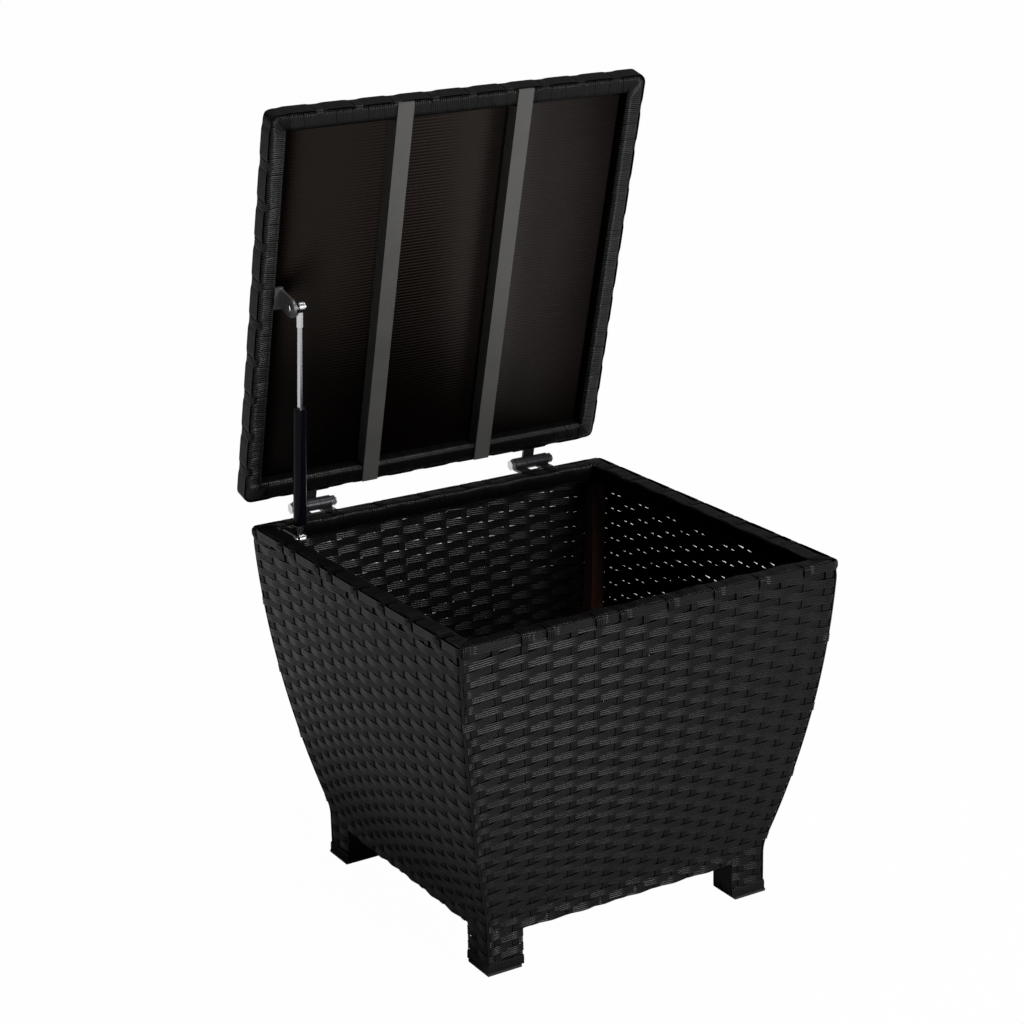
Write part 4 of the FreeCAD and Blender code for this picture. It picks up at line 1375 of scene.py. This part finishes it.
@dataclass
class Studio:
    """Floor, light and camera."""

    azimuth: float = -30.906
    elevation: float = 17.959
    distance: float = 2746.0 * MM
    focal_pixels: float = 2473.8
    image_side: float = 1024.0
    target: Triple = (-17.2 * MM, 6.28 * MM, 434.3 * MM)
    roll: float = -1.288
    sensor: float = 36.0
    far: float = 100.0
    room: float = 0.03
    backdrop: float = 0.33
    floor_half: float = 30.0
    floor_white: float = 0.985
    floor_edges: Pair = (0.4, 0.9)
    backdrop_edges: Pair = (-0.25, 0.55)
    lamps: tuple[Lamp, ...] = (Lamp("front", (0.99, -4.68, 1.59), 0.6, 2.1, 138.0),
                               Lamp("top", (0.3, -0.9, 3.0), 0.6, 0.4, 32.0))

    def stand(self, name: str, data: bpy.types.ID, axes: tuple[Array, ...] = (),
              place: Array | None = None) -> bpy.types.Object:
        """Puts an object into the scene.

        Args:
            name: Its name.
            data: Its mesh, lamp or camera.
            axes: Its directions to the right, up and back, if it is turned.
            place: Its place, if it is turned.

        Returns:
            The object.
        """
        thing = bpy.data.objects.new(name, data)
        if axes:
            matrix = np.eye(4)
            matrix[:3] = np.column_stack([*axes, place])
            thing.matrix_world = Matrix(matrix.tolist())
        bpy.context.scene.collection.objects.link(thing)
        return thing

    def camera(self) -> None:
        """Puts the camera where the photograph was taken from: a turn, a height, a distance and a roll."""
        turn, rise, roll = (math.radians(angle) for angle in (self.azimuth, self.elevation, self.roll))
        back = np.array([math.sin(turn) * math.cos(rise), -math.cos(turn) * math.cos(rise), math.sin(rise)])
        right = np.array([math.cos(turn), math.sin(turn), 0.0])
        up = np.cross(back, right)
        axes = (right * math.cos(roll) + up * math.sin(roll),
                up * math.cos(roll) - right * math.sin(roll), back)
        data = bpy.data.cameras.new("camera")
        data.sensor_width = self.sensor
        data.lens = self.focal_pixels / self.image_side * self.sensor
        data.clip_end = self.far
        place = np.array(self.target) + back * self.distance
        bpy.context.scene.camera = self.stand("camera", data, axes, place)

    def light(self, lamp: Lamp) -> None:
        """Puts up one lamp.

        Args:
            lamp: The lamp.
        """
        data = bpy.data.lights.new(lamp.name, "AREA")
        data.shape = "RECTANGLE"
        data.size, data.size_y = lamp.width, lamp.height
        data.energy = lamp.power
        back = unit(np.array(lamp.place) - np.array(lamp.aim))
        right = unit(np.cross([0.0, 0.0, 1.0], back))
        self.stand(lamp.name, data, (right, np.cross(back, right), back), np.array(lamp.place))

    def floor(self) -> None:
        """A wide pale floor, nearly white where it is seen and where it is mirrored away from the table."""
        side = self.floor_half
        mesh = bpy.data.meshes.new("floor")
        mesh.from_pydata([(-side, -side, 0), (side, -side, 0), (side, side, 0), (-side, side, 0)], [],
                         [(0, 1, 2, 3)])
        tree = Tree(bpy.data.materials.new("pale_floor"))
        white = tree.node("Emission", None, {"Color": WHITE})
        away = tree.node("VectorMath", {"operation": "LENGTH"}, {0: tree.place()}, "Value")
        seen = tree.node("LightPath", out="Is Camera Ray") * self.floor_white
        mirrored = tree.node("LightPath", out="Is Glossy Ray") * tree.eased(away, *self.floor_edges)
        tree.blend(seen + mirrored, white)
        mesh.materials.append(tree.finish({"Base Color": (0.86, 0.86, 0.85), "Roughness": 0.9,
                                           "Specular IOR Level": 0.1}))
        self.stand("floor", mesh)

    def world(self) -> None:
        """White where it is seen straight, a white backdrop behind the table and a dim room in front of it.

        The backdrop's share is the eased dot product of the ray with the level line of sight.
        """
        tree = Tree(bpy.data.worlds.new("studio"), "Background", "OutputWorld")
        turn = math.radians(self.azimuth)
        ray = tree.node("TexCoord", out="Generated")
        sight = (-math.sin(turn), math.cos(turn), 0.0)
        ahead = tree.node("VectorMath", {"operation": "DOT_PRODUCT"}, {0: ray, 1: sight}, "Value")
        seen = (tree.node("LightPath", out="Is Camera Ray")
                + tree.node("LightPath", out="Is Transmission Ray"))
        share = tree.math("MAXIMUM", tree.eased(ahead, *self.backdrop_edges) * self.backdrop, seen)
        light = tree.mix(share, (self.room, self.room, self.room), WHITE)
        bpy.context.scene.world = tree.finish({"Color": light})

    def build(self) -> None:
        """Makes the floor, the light and the camera."""
        bpy.context.scene.view_settings.view_transform = "Standard"
        self.floor()
        self.world()
        for lamp in self.lamps:
            self.light(lamp)
        self.camera()


def main() -> None:
    """Builds the studio and the table, piece by piece."""
    logging.basicConfig(level=logging.INFO, format="%(message)s")
    Studio().build()
    finishes = Finishes()
    finishes.dress_nodes(frame["nodes"])
    tub = Tub(finishes)
    for part in (tub, Rim(finishes, tub), Lid(finishes, tub)):
        part.build()


if __name__ == "__main__":
    main()
